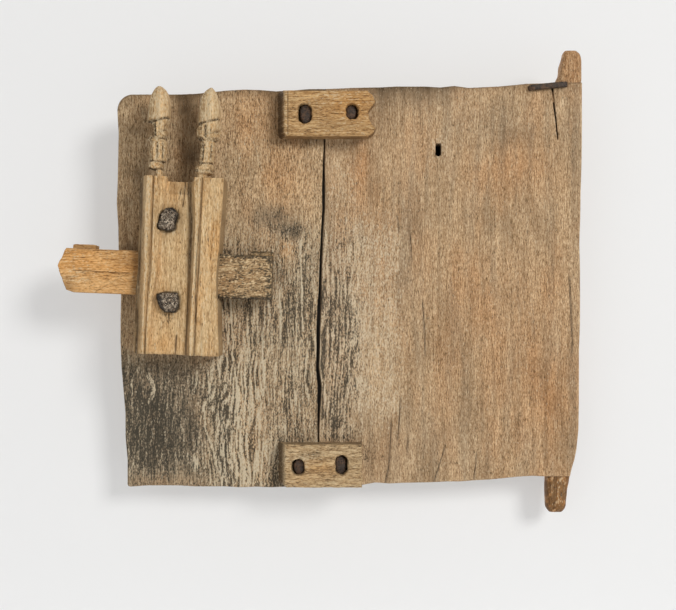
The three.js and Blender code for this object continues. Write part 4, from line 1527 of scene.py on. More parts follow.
    def _back_marks(self, x: Array, z: Array) -> Marks:
        """Give the weathering of a plank's back: mottled, dirty in its hollows and low down.

        Args:
            x: Places across.
            z: Places up.

        Returns:
            The marks.
        """
        mottled = rise(-0.3, 0.6, rough(x / 70, z / 150, 85))
        hollow = rise(0.5, 1.15, self._hewn_back(x, z, []))
        low = 1 - rise(60, 190, z + 40 * rough(x / 60, z / 90, 86))
        return {
            "dirt": 0.02 + 0.3 * hollow + 0.28 * low, "bare": 0.16 * mottled - 0.1 * low,
            "dull": 0.5 - 0.3 * mottled, "stain_and_shade": 0.14 + 0.3 * (1 - mottled) + 0.2 * low,
        }

    def _plank(
        self, part: Part, across: Array, up: Array, edges: Edges, weather: Weather,
        nominal: tuple[float, float, float, float], irons: list[tuple], lean: Pair,
        material: bpy.types.Material,
    ) -> None:
        """Build one plank.

        A point's place is worked out from its shares: first roughly from the plank's nominal
        corners, then from its real edges there. Its depth goes evenly from the weathered front
        to the hewn back.

        Args:
            part: How the plank belongs to the door.
            across: Marks from left to right.
            up: Marks from bottom to top.
            edges: Gives the left, right, bottom and top at each place.
            weather: Gives the front's relief and the marks at each place.
            nominal: The plank's rough left, right, bottom and top.
            irons: Boxes on the back that are let in.
            lean: How far the left and the right side go left towards the back.
            material: The finish.
        """
        rim = self.arris / self.thick
        deep = np.array([0, 0.25 * rim, 0.6 * rim, rim, 0.25, 0.42, 0.58, 0.75, 1 - rim, 1 - 0.5 * rim, 1])
        shell = shell_of(across, deep, up, thin_back=True)
        low_x, high_x, low_z, high_z = nominal
        rough_z = low_z + shell.up * (high_z - low_z)
        rough_left, rough_right, _, _ = edges(low_x + shell.across * (high_x - low_x), rough_z)
        rough_x = rough_left + shell.across * (rough_right - rough_left)
        _, _, bottom, top = edges(rough_x, rough_z)
        inset = edge_inset(shell.deep, self.thick, self.arris)
        z = bottom + inset + shell.up * (top - bottom - 2 * inset)
        left, right, _, _ = edges(rough_x, z)
        split_inset = np.minimum(inset, 0.5)
        left_inset = split_inset if lean[0] else inset
        right_inset = split_inset if lean[1] else inset
        left = left + left_inset - lean[0] * shell.deep
        right = right - right_inset - lean[1] * shell.deep
        x = left + shell.across * (right - left)
        relief, marks = weather(x, z)
        front = -self.thick / 2 + relief * (1 - shell.deep)
        back = self.thick / 2 - self._hewn_back(x, z, irons)
        y = front + shell.deep * (back - front)
        inner = np.sin(math.pi * shell.deep)
        x += 0.5 * inner * side_of(shell.across) * rough(y / 3.2, z / 40, 83)
        z += 0.6 * inner * side_of(shell.up) * rough(x / 3.5, y / 3.5, 89)
        sides = 1 - rise(0.0, 0.04, shell.deep)
        for name in ("dirt", "bare"):
            marks[name] = marks[name] * (0.45 + 0.55 * sides)
        # Painted shade: the split's faces are darkened to the colour inside an opening.
        in_split = (shell.across == 0) * bool(lean[0]) + (shell.across == 1) * bool(lean[1])
        split_face_shade = 0.9 * in_split * rise(0.0, 0.1, shell.deep)
        marks["gap"] = np.maximum(marks["gap"] * (shell.deep < 0.02), split_face_shade)
        edge_up = (shell.up == 1) * (shell.deep > 0.01) * 0.3
        marks["stain_and_shade"] = marks["stain_and_shade"] * (0.4 + 0.6 * sides) + edge_up
        behind = rise(0.6, 1.0, shell.deep)
        for name, values in self._back_marks(x, z).items():
            marks[name] = marks[name] * (1 - 0.8 * behind) + values * behind
        place_part(part, np.stack([x, y, z], axis=1), shell.faces, material, marks)

    def _horn(
        self, name: str, heights: Array, sections: Array, seed: int, worn: float,
        material: bpy.types.Material,
    ) -> None:
        """Build one pivot horn as rings whose half widths follow its sections.

        A ring is a superellipse, moved in and out by noise along the grain.

        Args:
            name: The piece's name.
            heights: The sections' heights.
            sections: Each section's left, right and half depth.
            seed: Which wear this is.
            worn: How dirty and dusty the horn is.
            material: The finish.
        """
        order = np.argsort(heights)
        heights, sections = heights[order], sections[order]
        fine = np.linspace(heights[0], heights[-1], 64)
        slow = np.stack([np.interp(fine, heights, column) for column in sections.T], axis=1)
        kernel = np.array([1, 2, 3, 2, 1]) / 9
        padded = np.pad(slow, ((2, 2), (0, 0)), mode="edge")
        smooth = np.stack([np.convolve(column, kernel, "valid") for column in padded.T], axis=1)
        left, right, half = smooth.T[:, :, None]
        turn = np.linspace(0, 2 * math.pi, 72, endpoint=False)[None, :]
        level = fine[:, None] + 0 * turn
        around = turn + 0 * level
        wear = 1 + 0.03 * rough(around * 3, level / 22, seed)
        wear = wear - 0.03 * np.abs(ripple(around * 1.3, level / 13, seed + 3))
        scale = squared_circle(turn, self.horn_exponent) * wear
        x = (left + right) / 2 + np.cos(turn) * scale * (right - left) / 2
        y = np.sin(turn) * scale * half
        points, faces = tube(np.stack([x, y, level], axis=2))
        px, pz = points[:, 0], points[:, 2]
        grimy = rise(-0.2, 0.7, rough(px / 6, pz / 14, seed + 5))
        dusty = rise(0, 0.6, rough(px / 7, pz / 10, seed + 7))
        marks = {
            "dirt": worn * grimy, "warmth": 0.4 + 0 * px, "bare": 0.04 + 0.7 * worn * dusty,
            "stain_and_shade": worn * (1.4 - 1.2 * dusty),
        }
        place_part(Part(name, "right_plank", "brown_plank_wood"), points, faces, material, marks)

    def build(self, finishes: Finishes) -> None:
        """Build both planks and both horns.

        Args:
            finishes: The door's materials.
        """
        wide, tall, step_across, step_up = 262, 512, 1.22, 2.0
        irons = [self.top_iron, self.bottom_iron]
        self._plank(
            Part("left_plank_wood", "left_plank", "dark_plank_wood"), marks_for(wide, step_across),
            marks_for(tall, step_up), self._left_edges, self._left_marks, (-570, -306, 34, 549),
            [*irons, self.upper_tail, self.lower_tail], (0.0, self.lean), finishes.left_plank,
        )
        wide, tall, step_across, step_up = 337, 520, 1.45, 2.25
        at_slot, at_crack, slot_heights = (143.5, 154.5), (294, 307), (427, 446)
        across = marks_for(wide, step_across)
        across = finer(across, at_slot[0] / wide, at_slot[1] / wide, 0.55 / wide)
        across = finer(across, at_crack[0] / wide, at_crack[1] / wide, 0.6 / wide)
        up = finer(marks_for(tall, step_up), slot_heights[0] / tall, slot_heights[1] / tall, 0.8 / tall)
        self._plank(
            Part("right_plank_wood", "right_plank", "brown_plank_wood"), across, up,
            self._right_edges, self._right_marks, (-306, 31, 38, 560), irons, (self.lean, 0.0),
            finishes.right_plank,
        )
        lower, upper = np.array(self.lower_horn), np.array(self.upper_horn)
        lower_heights = self.lower_horn_tall * (1 - lower[:, 0])
        upper_heights = self.upper_horn_foot + self.upper_horn_tall * upper[:, 0]
        self._horn("lower_horn", lower_heights, lower[:, 1:], 97, 0.4, finishes.horn)
        self._horn("upper_horn", upper_heights, upper[:, 1:], 101, 0.15, finishes.right_plank)


@dataclass(frozen=True)
class Pocket:
    """An oval hole in a cleat, with the iron that shows in it."""

    x: float
    z: float
    wide: float
    tall: float


@dataclass
class Cleats:
    """The two cleats across the split, and the iron cramps in their pockets.

    A box is the front's left, right, bottom and top. An end is how far the right end stands
    out, from bottom to top.
    """

    back: float = -17.3
    thick: float = 27.0
    arris: float = 2.2
    slope: float = 9.0
    deep: float = 14.0
    top_box: tuple = (-353.6, -247, 486.7, 545.4)
    top_end: tuple = (0, 8.5, 10, 6, 3, 1.4, 1.2, 2, 6, 10, 8.5, 5, 0)
    top_pockets: tuple[Pocket, ...] = (Pocket(-327.3, 516.05, 18.3, 25.5), Pocket(-266.6, 518.3, 16.6, 19.9))
    bottom_box: tuple = (-352.9, -254.3, 37.5, 92.7)
    bottom_end: tuple = (0, 0.6, 0.9, 0.4, 0, -0.3, 0.1, 0.5, 0.7, 0.3, -0.2, 0, 0)
    bottom_pockets: tuple[Pocket, ...] = (Pocket(-335.8, 63.2, 17.0, 21.0), Pocket(-280.2, 65.9, 16.6, 25.0))
    top_patches: Patches = Patches(
        bare=((0.2, (335, 100), (24, 8)),),
        warmth=((0.4, (350, 112), (20, 14)), (0.3, (310, 98), (10, 6))),
        stain_and_shade=((0.3, (282, 96), (5, 8)), (0.16, (344, 128), (24, 4))),
    )
    bottom_patches: Patches = Patches(
        dirt=((0.2, (320, 486), (40, 2)),),
        bare=((0.3, (300, 456), (16, 8)),),
        warmth=((0.5, (318, 464), (18, 9)), (0.3, (300, 478), (20, 6))),
    )

    def _cleat(
        self, part: Part, box: tuple[float, float, float, float], end: tuple,
        pockets: tuple[Pocket, ...], weather: Weather, material: bpy.types.Material,
    ) -> None:
        """Build one cleat.

        A point's place is worked out from its shares: the sides lean to the left towards the
        back, the right end is broken or worn, and the pockets are sunk into the front.

        Args:
            part: How the cleat belongs to the door.
            box: The front's left, right, bottom and top.
            end: How far the right end stands out, from bottom to top.
            pockets: The oval holes.
            weather: Gives the relief and the marks at each place.
            material: The finish.
        """
        left, right, bottom, top = box
        step, corner_tall, corner_wide = 0.8, 5, 4
        across = marks_for(right - left, step, self.arris)
        up = marks_for(top - bottom, step, self.arris)
        rim = self.arris / self.thick
        shell = shell_of(across, np.array([0, 0.25 * rim, 0.6 * rim, rim, 0.3, 0.5, 0.7, 0.9, 1]), up)
        inset = edge_inset(np.minimum(shell.deep, 0.5), self.thick, self.arris)
        z = bottom + inset + shell.up * (top - bottom - 2 * inset)
        z += 0.5 * rough(shell.across * 6, shell.deep * 2, 7) * np.abs(side_of(shell.up))
        corner = corner_wide * line_at(shell.up * (top - bottom), corner_tall) ** 2
        low_x = left + inset - self.slope * shell.deep + corner
        low_x += 0.6 * rough(z / 9, shell.deep * 3, 11)
        high_x = right - inset + evenly(end, 0, 1, shell.up)
        high_x += 0.8 * rough(z / 5, shell.deep * 4, 13)
        x = low_x + shell.across * (high_x - low_x)
        relief, marks = weather(x, z)
        for pocket in pockets:
            relief, marks["gap"] = self._bored(x, z, pocket, relief, marks["gap"])
        front = self.back - self.thick + relief * (1 - shell.deep)
        y = front + shell.deep * (self.back - front)
        # Painted shade: the side faces are browner, most of all the left end, which faces away from the
        # light; they get a little dirt too.
        beside = (shell.deep > 0.05) * 1.0
        left_end_shade = (shell.across == 0) * rise(0.1, 0.5, shell.deep)
        marks["gap"] = marks["gap"] * (shell.deep < 0.02)
        marks["dirt"] = marks["dirt"] + 0.1 * beside
        marks["stain_and_shade"] = marks["stain_and_shade"] + beside * (0.3 + 0.5 * left_end_shade)
        place_part(part, np.stack([x, y, z], axis=1), shell.faces, material, marks)

    def _bored(
        self, x: Array, z: Array, pocket: Pocket, relief: Array, gap: Array
    ) -> tuple[Array, Array]:
        """Sink an oval pocket: the distance inside a rounded box, with a worn rim and painted shade inside.

        Args:
            x: Places across.
            z: Places up.
            pocket: The pocket.
            relief: How deep the surface already is.
            gap: How dark it already is.

        Returns:
            The new relief and the new dark.
        """
        corner = 0.46 * pocket.wide
        dx = np.abs(x - pocket.x) - (pocket.wide / 2 - corner)
        dz = np.abs(z - pocket.z) - (pocket.tall / 2 - corner)
        outside = np.hypot(np.maximum(dx, 0), np.maximum(dz, 0))
        inside = corner - outside - np.minimum(np.maximum(dx, dz), 0)
        inside = inside + 0.8 * rough(x / 6, z / 6, 19)
        relief = relief + self.deep * rise(-0.3, 1.4, inside) + 0.5 * rise(-2.5, 0, inside)
        return relief, np.maximum(gap, 0.8 * rise(0.2, 1.6, inside))

    def _top_weather(self, x: Array, z: Array) -> tuple[Array, Marks]:
        """Give the top cleat's relief and weathering: fine grain, and two upright saw lines.

        Args:
            x: Places across.
            z: Places up.

        Returns:
            The depth of the surface below the front, and the marks.
        """
        c, r = seen(x, z)
        fine = rough(x / 34, z / 1.9, 29)
        wave = rough(x / 26 + 0.5 * rough(x / 20, z / 20, 33), z / 2.4, 35)
        line, faint_line = line_at(c - 288.6, 0.9), line_at(c - 325.5, 0.8)
        patches = self.top_patches.at(c, r)
        depth = 0.22 * (1 - fine) + 0.7 * line + 0.25 * faint_line
        depth += 0.35 * np.abs(rough(x / 18, z / 14, 31))
        bare = patches["bare"] + 0.08 + 0.3 * wave + 0.3 * band(284, 288, 1, c)
        stain_and_shade = patches["stain_and_shade"] + 0.1 + 0.3 * np.clip(-wave, 0, 1)
        stain_and_shade += 0.22 * (1 - rise(90, 95, r)) + 0.3 * rise(370, 376, c)
        return depth, {
            "dirt": -0.04 - 0.1 * wave, "bare": bare, "warmth": patches["warmth"] + 0.35,
            "dull": 0 * x, "gap": 0.6 * line, "stain_and_shade": stain_and_shade,
        }

    def _bottom_weather(self, x: Array, z: Array) -> tuple[Array, Marks]:
        """Give the bottom cleat's relief and weathering: a soft stain at its upper left.

        Args:
            x: Places across.
            z: Places up.

        Returns:
            The depth of the surface below the front, and the marks.
        """
        c, r = seen(x, z)
        fine = rough(x / 30, z / 1.9, 37)
        grains = rough(x / 2.4, z / 2.0, 43, 1)
        smudge = band(300, 321, 3, c) * band(449, 457, 3, r)
        patches = self.bottom_patches.at(c, r)
        depth = 0.25 * (1 - fine) + 0.35 * np.abs(rough(x / 16, z / 12, 41))
        dirt = patches["dirt"] - 0.1 * fine + smudge * (0.2 - 0.2 * grains)
        dirt += 0.16 * (1 - rise(443, 447, r)) + 0.2 * spot(c, r, (290, 462), (7, 18)) * (grains < 0.1)
        bare = patches["bare"] + 0.1 + 0.2 * grains + 0.3 * band(283, 287, 1.5, c)
        stain_and_shade = 0.06 + 0.14 * rise(-0.2, 0.6, rough(x / 20, z / 5, 47))
        stain_and_shade += 0.25 * rise(484, 488, r) + 0.3 * smudge
        return depth, {
            "dirt": dirt, "bare": bare, "warmth": patches["warmth"] + 0.15, "dull": 0.1 + 0 * x,
            "gap": 0 * x, "stain_and_shade": stain_and_shade,
        }

    @staticmethod
    def _cramp(
        node: str, pockets: tuple[Pocket, ...], bar_z: float, seed: int, finishes: Finishes
    ) -> None:
        """Build one cramp: its bar at the back, its legs, and the ends beaten over in front.

        Args:
            node: The frame's node.
            pockets: The pockets that its ends show in.
            bar_z: The bar's height.
            seed: Which hammering this is.
            finishes: The door's materials.
        """
        front, back, thick, end_y = -31.0, 14.4, 8.6, -35.4
        low, high = pockets[0].x + 1.5, pockets[1].x - 1.5
        corners = [(low, front, bar_z), (low, back, bar_z), (high, back, bar_z), (high, front, bar_z)]
        path = bent_path(corners, 4.0, 1.5)
        at_back = rise(4, 12, path[:, 1])
        path[:, 1] += 0.1 * at_back
        upright, rearward = np.array([0.0, 0.0, 1.0]), np.array([0.0, 1.0, 0.0])
        points, faces = level_bar(path, upright, thick + 3.2 * at_back, thick - 3.4 * at_back, seed)
        place_part(Part(f"{node}_bar", node, "old_iron", crease=60), points, faces, finishes.iron)
        for index, (leg, pocket) in enumerate(zip((low, high), pockets)):
            half = pocket.tall / 2 - 0.9
            run = np.linspace(-half, half, 30)
            bow = end_y + 1.2 * np.cos(run / half * 1.4)
            path = np.stack([leg + 0 * run, bow, pocket.z + run], axis=1)
            wide = (pocket.wide - 2.8) * np.sqrt(np.clip(1.1 - (run / half) ** 2, 0.12, 1))
            points, faces = swept_bar(path, wide, 0.42 * wide + 1.5, rearward, seed + 7 * index + 1)
            part = Part(f"{node}_end_{index + 1}", node, "old_iron", crease=60)
            place_part(part, points, faces, finishes.iron)

    def build(self, finishes: Finishes) -> None:
        """Build both cleats and both cramps.

        Args:
            finishes: The door's materials.
        """
        self._cleat(
            Part("top_cleat_wood", "top_cleat", "cleat_wood"), self.top_box, self.top_end,
            self.top_pockets, self._top_weather, finishes.top_cleat,
        )
        self._cleat(
            Part("bottom_cleat_wood", "bottom_cleat", "cleat_wood"), self.bottom_box,
            self.bottom_end, self.bottom_pockets, self._bottom_weather, finishes.bottom_cleat,
        )
        self._cramp("top_cramp", self.top_pockets, 519.0, 3, finishes)
        self._cramp("bottom_cramp", self.bottom_pockets, 66.0, 5, finishes)


@dataclass
class Staple:
    """The forged staple that holds the crack at the upper pivot."""

    x: float = -11.8
    z: float = 555.4
    reach: float = 23.2
    tilt: float = 6.0
    front: float = -20.2
    rear: float = 6.0

    def build(self, finishes: Finishes) -> None:
        """Build the staple as one bar bent down into the wood at both ends.

        Args:
            finishes: The door's materials.
        """
        turn = math.radians(self.tilt)
        end = np.array([math.cos(turn), 0, math.sin(turn)]) * self.reach
        middle = np.array([self.x, 0, self.z])
        rear, front = np.array([0, self.rear, 0]), np.array([0, self.front, 0])
        corners = [middle - end + rear, middle - end + front, middle + end + front, middle + end + rear]
        path = bent_path([tuple(corner) for corner in corners], 4.2, 1.2)
        in_wood = rise(-19, -12, path[:, 1])
        up = np.array([-math.sin(turn), 0, math.cos(turn)])
        points, faces = level_bar(path, up, 7.2 - 1.4 * in_wood, 5.2 + 0.5 * in_wood, 9)
        part = Part("repair_staple_iron", "repair_staple", "old_iron", crease=60)
        place_part(part, points, faces, finishes.iron)


# The lock's own frame leans this many degrees, and its origin lies at this X and Z.
LOCK_LEAN = 2.2
LOCK_X = -487
LOCK_Z = 310


def from_lock(u: Array, y: Array, w: Array) -> Array:
    """Turn places in the lock's own leaning frame into the door's.

    Args:
        u: Places across the lock.
        y: Places in depth, which both frames share.
        w: Places up the lock.

    Returns:
        The points, one per row.
    """
    turn = math.radians(LOCK_LEAN)
    x = LOCK_X + u * math.cos(turn) + w * math.sin(turn)
    z = LOCK_Z - u * math.sin(turn) + w * math.cos(turn)
    return np.stack([x, y, z], axis=1)


@dataclass(frozen=True)
class Figure:
    """One carved figure on the lock.

    Attributes:
        name: The piece's name.
        seed: Which knife work this is.
        slit: Where the slit down its trunk lies, in half widths to the left.
        nick: Where the upright cut in its block lies, in half widths to the left.
        sections: Heights above the lock's top, left, right, and depths of back and front.
    """

    name: str
    seed: int
    slit: float
    nick: float
    sections: tuple


@dataclass(frozen=True)
class Spike:
    """One forged spike through the lock.

    Attributes:
        name: The frame's node, which names the pieces too.
        seed: Which hammering this is.
        centre: The shank's place in the lock's frame.
        outline: The head's outline about the shank.
        fold: How deep the fold across the head is, in mm.
        tilt: How far the head rises to the right and to the top, in mm per mm.
        dark: Dark patches on the head; the lower spike's patch below its head is painted shadow.
        left_dark: How much painted shade lies on its left edge, which faces away from the light.
    """

    name: str
    seed: int
    centre: Pair
    outline: Path
    fold: float
    tilt: Pair
    dark: tuple[Patch, ...]
    left_dark: float


@dataclass
class Lock:
    """The carved lock with its two figures, its bolt and its spikes, in its own leaning frame.

    A row of the carved block is its height, how far its left edge stands out, six lines from
    that edge, how far its right edge stands out, and four lines from that one.
    """

    back: float = -17.3
    foot: float = -101.5
    head: float = 122.0
    channel: float = 28.6
    channel_deep: float = 34.9
    rows: tuple = (
        (122, 0.8, (2.6, 10.5, 17.7, 19.5, 33.9, 35), 3.2, (45.1, 36.1, 27.4, 25.4)),
        (111, 0.8, (2.6, 10.5, 17.7, 19.5, 33.9, 35), 3.2, (45.1, 36.1, 27.4, 25.4)),
        (61, -0.4, (2.5, 9, 16.7, 18.6, 26.7, 28), 1.7, (40.3, 31.3, 27.5, 24)),
        (3, -0.7, (2.3, 10, 14.8, 19, 25.2, 26.5), -1.3, (36.9, 28.5, 23.8, 21.1)),
        (-28, 0.6, (3.3, 11.4, 14.3, 17.7, 21.9, 23.2), -0.3, (37.4, 30.4, 26, 23.5)),
        (-33, 0.5, (3.4, 11.5, 14.4, 17.5, 21.8, 23.1), 1.8, (39.2, 32.2, 27.8, 25.3)),
        (-65, 0.5, (4.1, 11.7, 14.7, 16.4, 21.2, 22.5), 3, (40.5, 34.2, 29.2, 26.7)),
        (-97, 0.7, (3.1, 12, 15, 16.7, 19.1, 20.4), 5.1, (43, 36.5, 31.7, 28.4)),
        (-101.5, 0.7, (3.1, 12, 15, 16.7, 19.1, 20.4), 5.1, (43, 36.5, 31.7, 28.4)),
    )
    block_patches: Patches = Patches(
        dirt=(
            (0.42, (-12, -55), (8, 10)), (0.26, (-7, -66), (5, 12)), (0.3, (-8, 88), (5, 6)),
            (0.1, (-12, 60), (18, 20)),
        ),
        warmth=((0.35, (-14, -90), (26, 14)),),
    )
    bolt_thick: float = 34.0
    bolt_half: float = 28.0
    bolt_end: float = 118.0
    bolt_arris: float = 2.0
    bolt_patches: Patches = Patches(
        dirt=((0.16, (-76, -10), (10, 8)),), bare=((0.25, (-132, 0), (16, 20)),),
        stain_and_shade=((0.3, (-70, 14), (16, 10)),),
    )
    spikes: tuple[Spike, ...] = (
        Spike(
            "lock_spike_upper", 227, (-13.3, 68.5),
            (
                (-12.5, -11), (-4, -14.6), (6.5, -14.2), (9.8, -11.5), (9, -6), (11.6, 0), (12.6, 6.5),
                (8, 11.8), (4.5, 14), (-4, 12.5), (-9, 6.5), (-11, -3),
            ),
            fold=1.8, tilt=(0.14, 0.0), dark=((0.9, (5, 12), (5, 3)), (0.7, (11, -1), (3, 6))), left_dark=0.0,
        ),
        Spike(
            "lock_spike_lower", 230, (-9.0, -37.5),
            (
                (-4.6, -10.5), (2, -11), (9, -10.5), (13, -5), (13.2, 2), (12.2, 8), (11, 13.6),
                (2, 13.8), (-8, 13.4), (-15.4, 11), (-13, 1), (-9.6, -6),
            ),
            # The lower spike's patch below its head is painted shadow, and its left edge gets painted shade.
            fold=0.0, tilt=(0.02, -0.05), dark=((0.6, (5, -10), (6, 2)),), left_dark=0.8,
        ),
    )
    figures: tuple[Figure, ...] = (
        Figure(
            "left_figure", 211, slit=0.03, nick=0.7,
            sections=(
                (-5, -32, -23, 30, 52), (8, -32, -23, 30, 52), (9.5, -41.5, -24, 27, 56),
                (17.5, -42, -24, 27, 56), (19, -40.5, -20.5, 31, 53), (33, -41, -20, 31, 54),
                (43, -41, -20, 31, 54), (45.5, -44.4, -20.4, 28, 56), (48, -44, -20.6, 28, 56),
                (50, -36, -21, 31, 54), (61, -37, -20, 29, 56), (69, -39, -18.5, 27, 57),
                (72, -46.3, -17.8, 24, 58), (84, -46, -17.6, 24, 58), (94, -44.8, -18.2, 25, 57),
                (101, -43.2, -19.4, 27, 55), (106, -41, -21.4, 29, 53), (110, -38.8, -24, 32, 50),
                (113, -36.4, -28, 36, 46), (114.6, -34, -31, 39, 43),
            ),
        ),
        Figure(
            "right_figure", 223, slit=0.5, nick=0.22,
            sections=(
                (-5, 19, 33, 30, 52), (4, 19, 33, 30, 52), (6, 16.4, 39, 27, 56),
                (13, 16.8, 39.2, 27, 56), (15.5, 21.5, 39, 31, 53), (35, 22.8, 39.8, 31, 54),
                (46, 22.8, 40.5, 31, 54), (48.5, 20, 45, 28, 56), (52, 17.3, 46, 28, 56),
                (62, 17, 46.4, 28, 56), (70, 18.5, 46, 27, 57), (72.5, 17.6, 46.4, 24, 58),
                (84, 18, 46.2, 24, 58), (94, 18.8, 44.8, 25, 57), (101, 20, 42.8, 27, 55),
                (106, 22.6, 41.2, 29, 53), (110, 25.6, 39, 32, 50), (113, 29, 36.6, 36, 46),
                (115, 32, 34.4, 39, 43),
            ),
        ),
    )

    def _lines(self, w: Array) -> tuple[Array, Array]:
        """Give the carved lines at each height, and each line's depth.

        Args:
            w: Heights in the lock's frame.

        Returns:
            Each line's place across, as (line, height), and the depths, one per line.
        """
        heights = np.array([row[0] for row in self.rows])[::-1]

        def along(values: list[float]) -> Array:
            """Read one line's value at each height."""
            return np.interp(w, heights, values[::-1])

        start = along([-51 - row[1] for row in self.rows])
        end = along([51 + row[3] for row in self.rows])
        left = [start + along([row[2][n] for row in self.rows]) for n in range(6)]
        right = [end - along([row[4][n] for row in self.rows]) for n in range(4)]
        lines = [
            start, left[0], left[1], left[2] - 0.9, (left[2] + left[3]) / 2, left[3] + 0.7, left[4], left[5],
            right[0], right[1], right[1] + 0.3, right[2] - 0.8, (right[2] + right[3]) / 2, right[3] + 0.7,
            end,
        ]
        depths = np.array([47, 49, 59.6, 60, 56.4, 58.4, 57, 49.6, 49.6, 59.4, 60, 60, 56.4, 58.2, 57.4])
        return np.stack(lines), depths

    def _body(self, finishes: Finishes) -> None:
        """Build the carved block.

        The columns follow the carved lines, so each moulding keeps its width and depth as the
        lines drift. The channel for the bolt is a step in the depth of the back.

        Args:
            finishes: The door's materials.
        """
        per_span = [2, 5, 5, 2, 2, 6, 2, 22, 7, 1, 5, 2, 2, 16]
        spans = len(per_span)
        places = [n + k / count for n, count in enumerate(per_span) for k in range(count)] + [spans]
        tall = self.head - self.foot
        close = [-28.65, -28.55, 28.55, 28.65, -101.1, -100.4, 121.5, 120.9]
        rows = np.sort(np.concatenate([np.linspace(self.foot, self.head, 140), close]))
        rim = 0.04
        deep = np.array([0, rim / 3, rim, 0.2, 0.4, 0.6, 0.8, 1 - rim / 2, 1])
        shell = shell_of(np.array(places) / spans, deep, (rows - self.foot) / tall)
        place, w = shell.across * spans, shell.up * tall + self.foot
        lines, depths = self._lines(w)
        low = np.minimum(place.astype(int), spans - 1)
        share = place - low
        column = np.arange(len(place))
        u = lines[low, column] * (1 - share) + lines[low + 1, column] * share
        carved = depths[low] * (1 - share) + depths[low + 1] * share
        grain = rough(u / 2.2, w / 55, 107)
        carved -= 0.25 * (1 - grain) + 0.5 * np.abs(ripple(u / 9, w / 46, 109))
        carved -= 1.2 * band(-14, 8, 4, u)
        cracks, gap = self._cracks(u, w)
        carved -= cracks
        seat = 49.4
        for spike in self.spikes:
            inside = self._inside(u - spike.centre[0], w - spike.centre[1], spike.outline)
            carved = np.where(inside > 0, np.minimum(carved, seat), carved)
            gap = np.maximum(gap, 0.75 * rise(-0.9, 0.4, inside))
        carved -= 1.2 * line_at(np.minimum(w - self.foot, self.head - w), 1.6) ** 2
        back = self.channel_deep * (np.abs(w) < self.channel)
        depth = carved + shell.deep * (back - carved)
        top_line = np.where((place > 6.5) & (place < 9.0), self.head - 6, self.head)
        w = np.minimum(w, top_line + 0.5 * rough(u / 6, depth / 8, 113))
        w = w + 0.9 * (shell.up == 0) * rough(u / 4, depth / 9, 127)
        u = u + 0.5 * side_of(shell.across) * rough(w / 24, depth / 5, 131)
        marks = self._weather(u, w, shell.deep, gap, place)
        points = from_lock(u, self.back - depth, w)
        part = Part("lock_body_wood", "lock_body", "lock_wood", crease=40)
        place_part(part, points, shell.faces, finishes.lock, marks)

    @staticmethod
    def _cracks(u: Array, w: Array) -> tuple[Array, Array]:
        """Give the depth of the lock's cracks and how dark each place in them is.

        Args:
            u: Places across.
            w: Places up.

        Returns:
            The depths in mm, and the darks.
        """
        depth, dark = np.zeros_like(u), np.zeros_like(u)
        paths = (
            ((-103, -90, -76), (1.5, 1.2, 1.5), 0.9),
            ((84, 96, 116), (3.4, 4.4, 5.8), 0.8),
            ((94, 108), (-1.5, 0.5), 0.6),
            ((-60, -20, 20, 60), (26.6, 24.5, 24.6, 26.5), 0.5),
            ((-100, -60), (36, 35), 0.5),
        )
        for heights, places, half in paths:
            middle = np.interp(w, heights, places)
            inside = line_at(u - middle, half + 0.35) * (w > heights[0]) * (w < heights[-1])
            depth += 2.0 * inside
            dark = np.maximum(dark, 0.8 * inside)
        return depth, dark

    @staticmethod
    def _inside(du: Array, dw: Array, outline: Path) -> Array:
        """Give how far a place lies inside an outline round the origin, by its reach that way.

        Args:
            du: Places across.
            dw: Places up.
            outline: The outline's corners.

        Returns:
            One distance per place, negative outside.
        """
        corners = np.array(outline, dtype=float)
        angles = np.arctan2(corners[:, 1], corners[:, 0])
        order = np.argsort(angles)
        reaches = np.hypot(*corners.T)[order]
        reach = np.interp(np.arctan2(dw, du), angles[order], reaches, period=2 * math.pi)
        return reach + 0.8 - np.hypot(du, dw)

    def _weather(self, u: Array, w: Array, deep: Array, gap: Array, place: Array) -> Marks:
        """Give the lock's weathering and painted light.

        Brown painted shade lies on the left bevel and on the facet of the right ridge that faces left,
        both grooves are browner from dirt and painted shade, the faces round the sides are browner,
        the ridges' arrises are paler, partly rubbed and partly painted highlight, and the lower spike
        has a drip below it.

        Args:
            u: Places across.
            w: Places up.
            deep: Shares of the way to the back.
            gap: How dark each place already is.
            place: Places across, counted in carved lines.

        Returns:
            The marks.
        """
        fine = rough(u / 2.2, w / 70, 137)
        front = deep < 0.1
        patches = self.block_patches.at(u, w)
        # Painted shade, in the brown: on the left bevel and the right ridge's facet that faces left, and in
        # both grooves along with dirt; the faces round the sides are browner too.
        stain_and_shade = 0.6 * np.clip(1.1 - np.abs(place - 4), 0, 1) + 0.6 * np.clip(1.1 - np.abs(place - 12), 0, 1)
        stain_and_shade += 0.8 * (1 - rise(1.0, 1.6, place)) + 0.95 * band(8.0, 8.6, 0.12, place)
        stain_and_shade += 0.2 * (place < 2) + 0.3 * band(8.6, 9.0, 0.1, place)
        stain_and_shade = stain_and_shade * front * (0.8 + 0.5 * fine) + 0.42 * ~front
        stain_and_shade += 0.3 * spot(u, w, (-13, 68), (19, 20)) * front
        stain_and_shade += 0.25 * (w > 100) * (np.abs(place - 7.6) < 0.5) + 0.1 * (w < -99)
        stain_and_shade += 0.14 * rise(-0.2, 0.7, rough(u / 6, w / 80, 141))
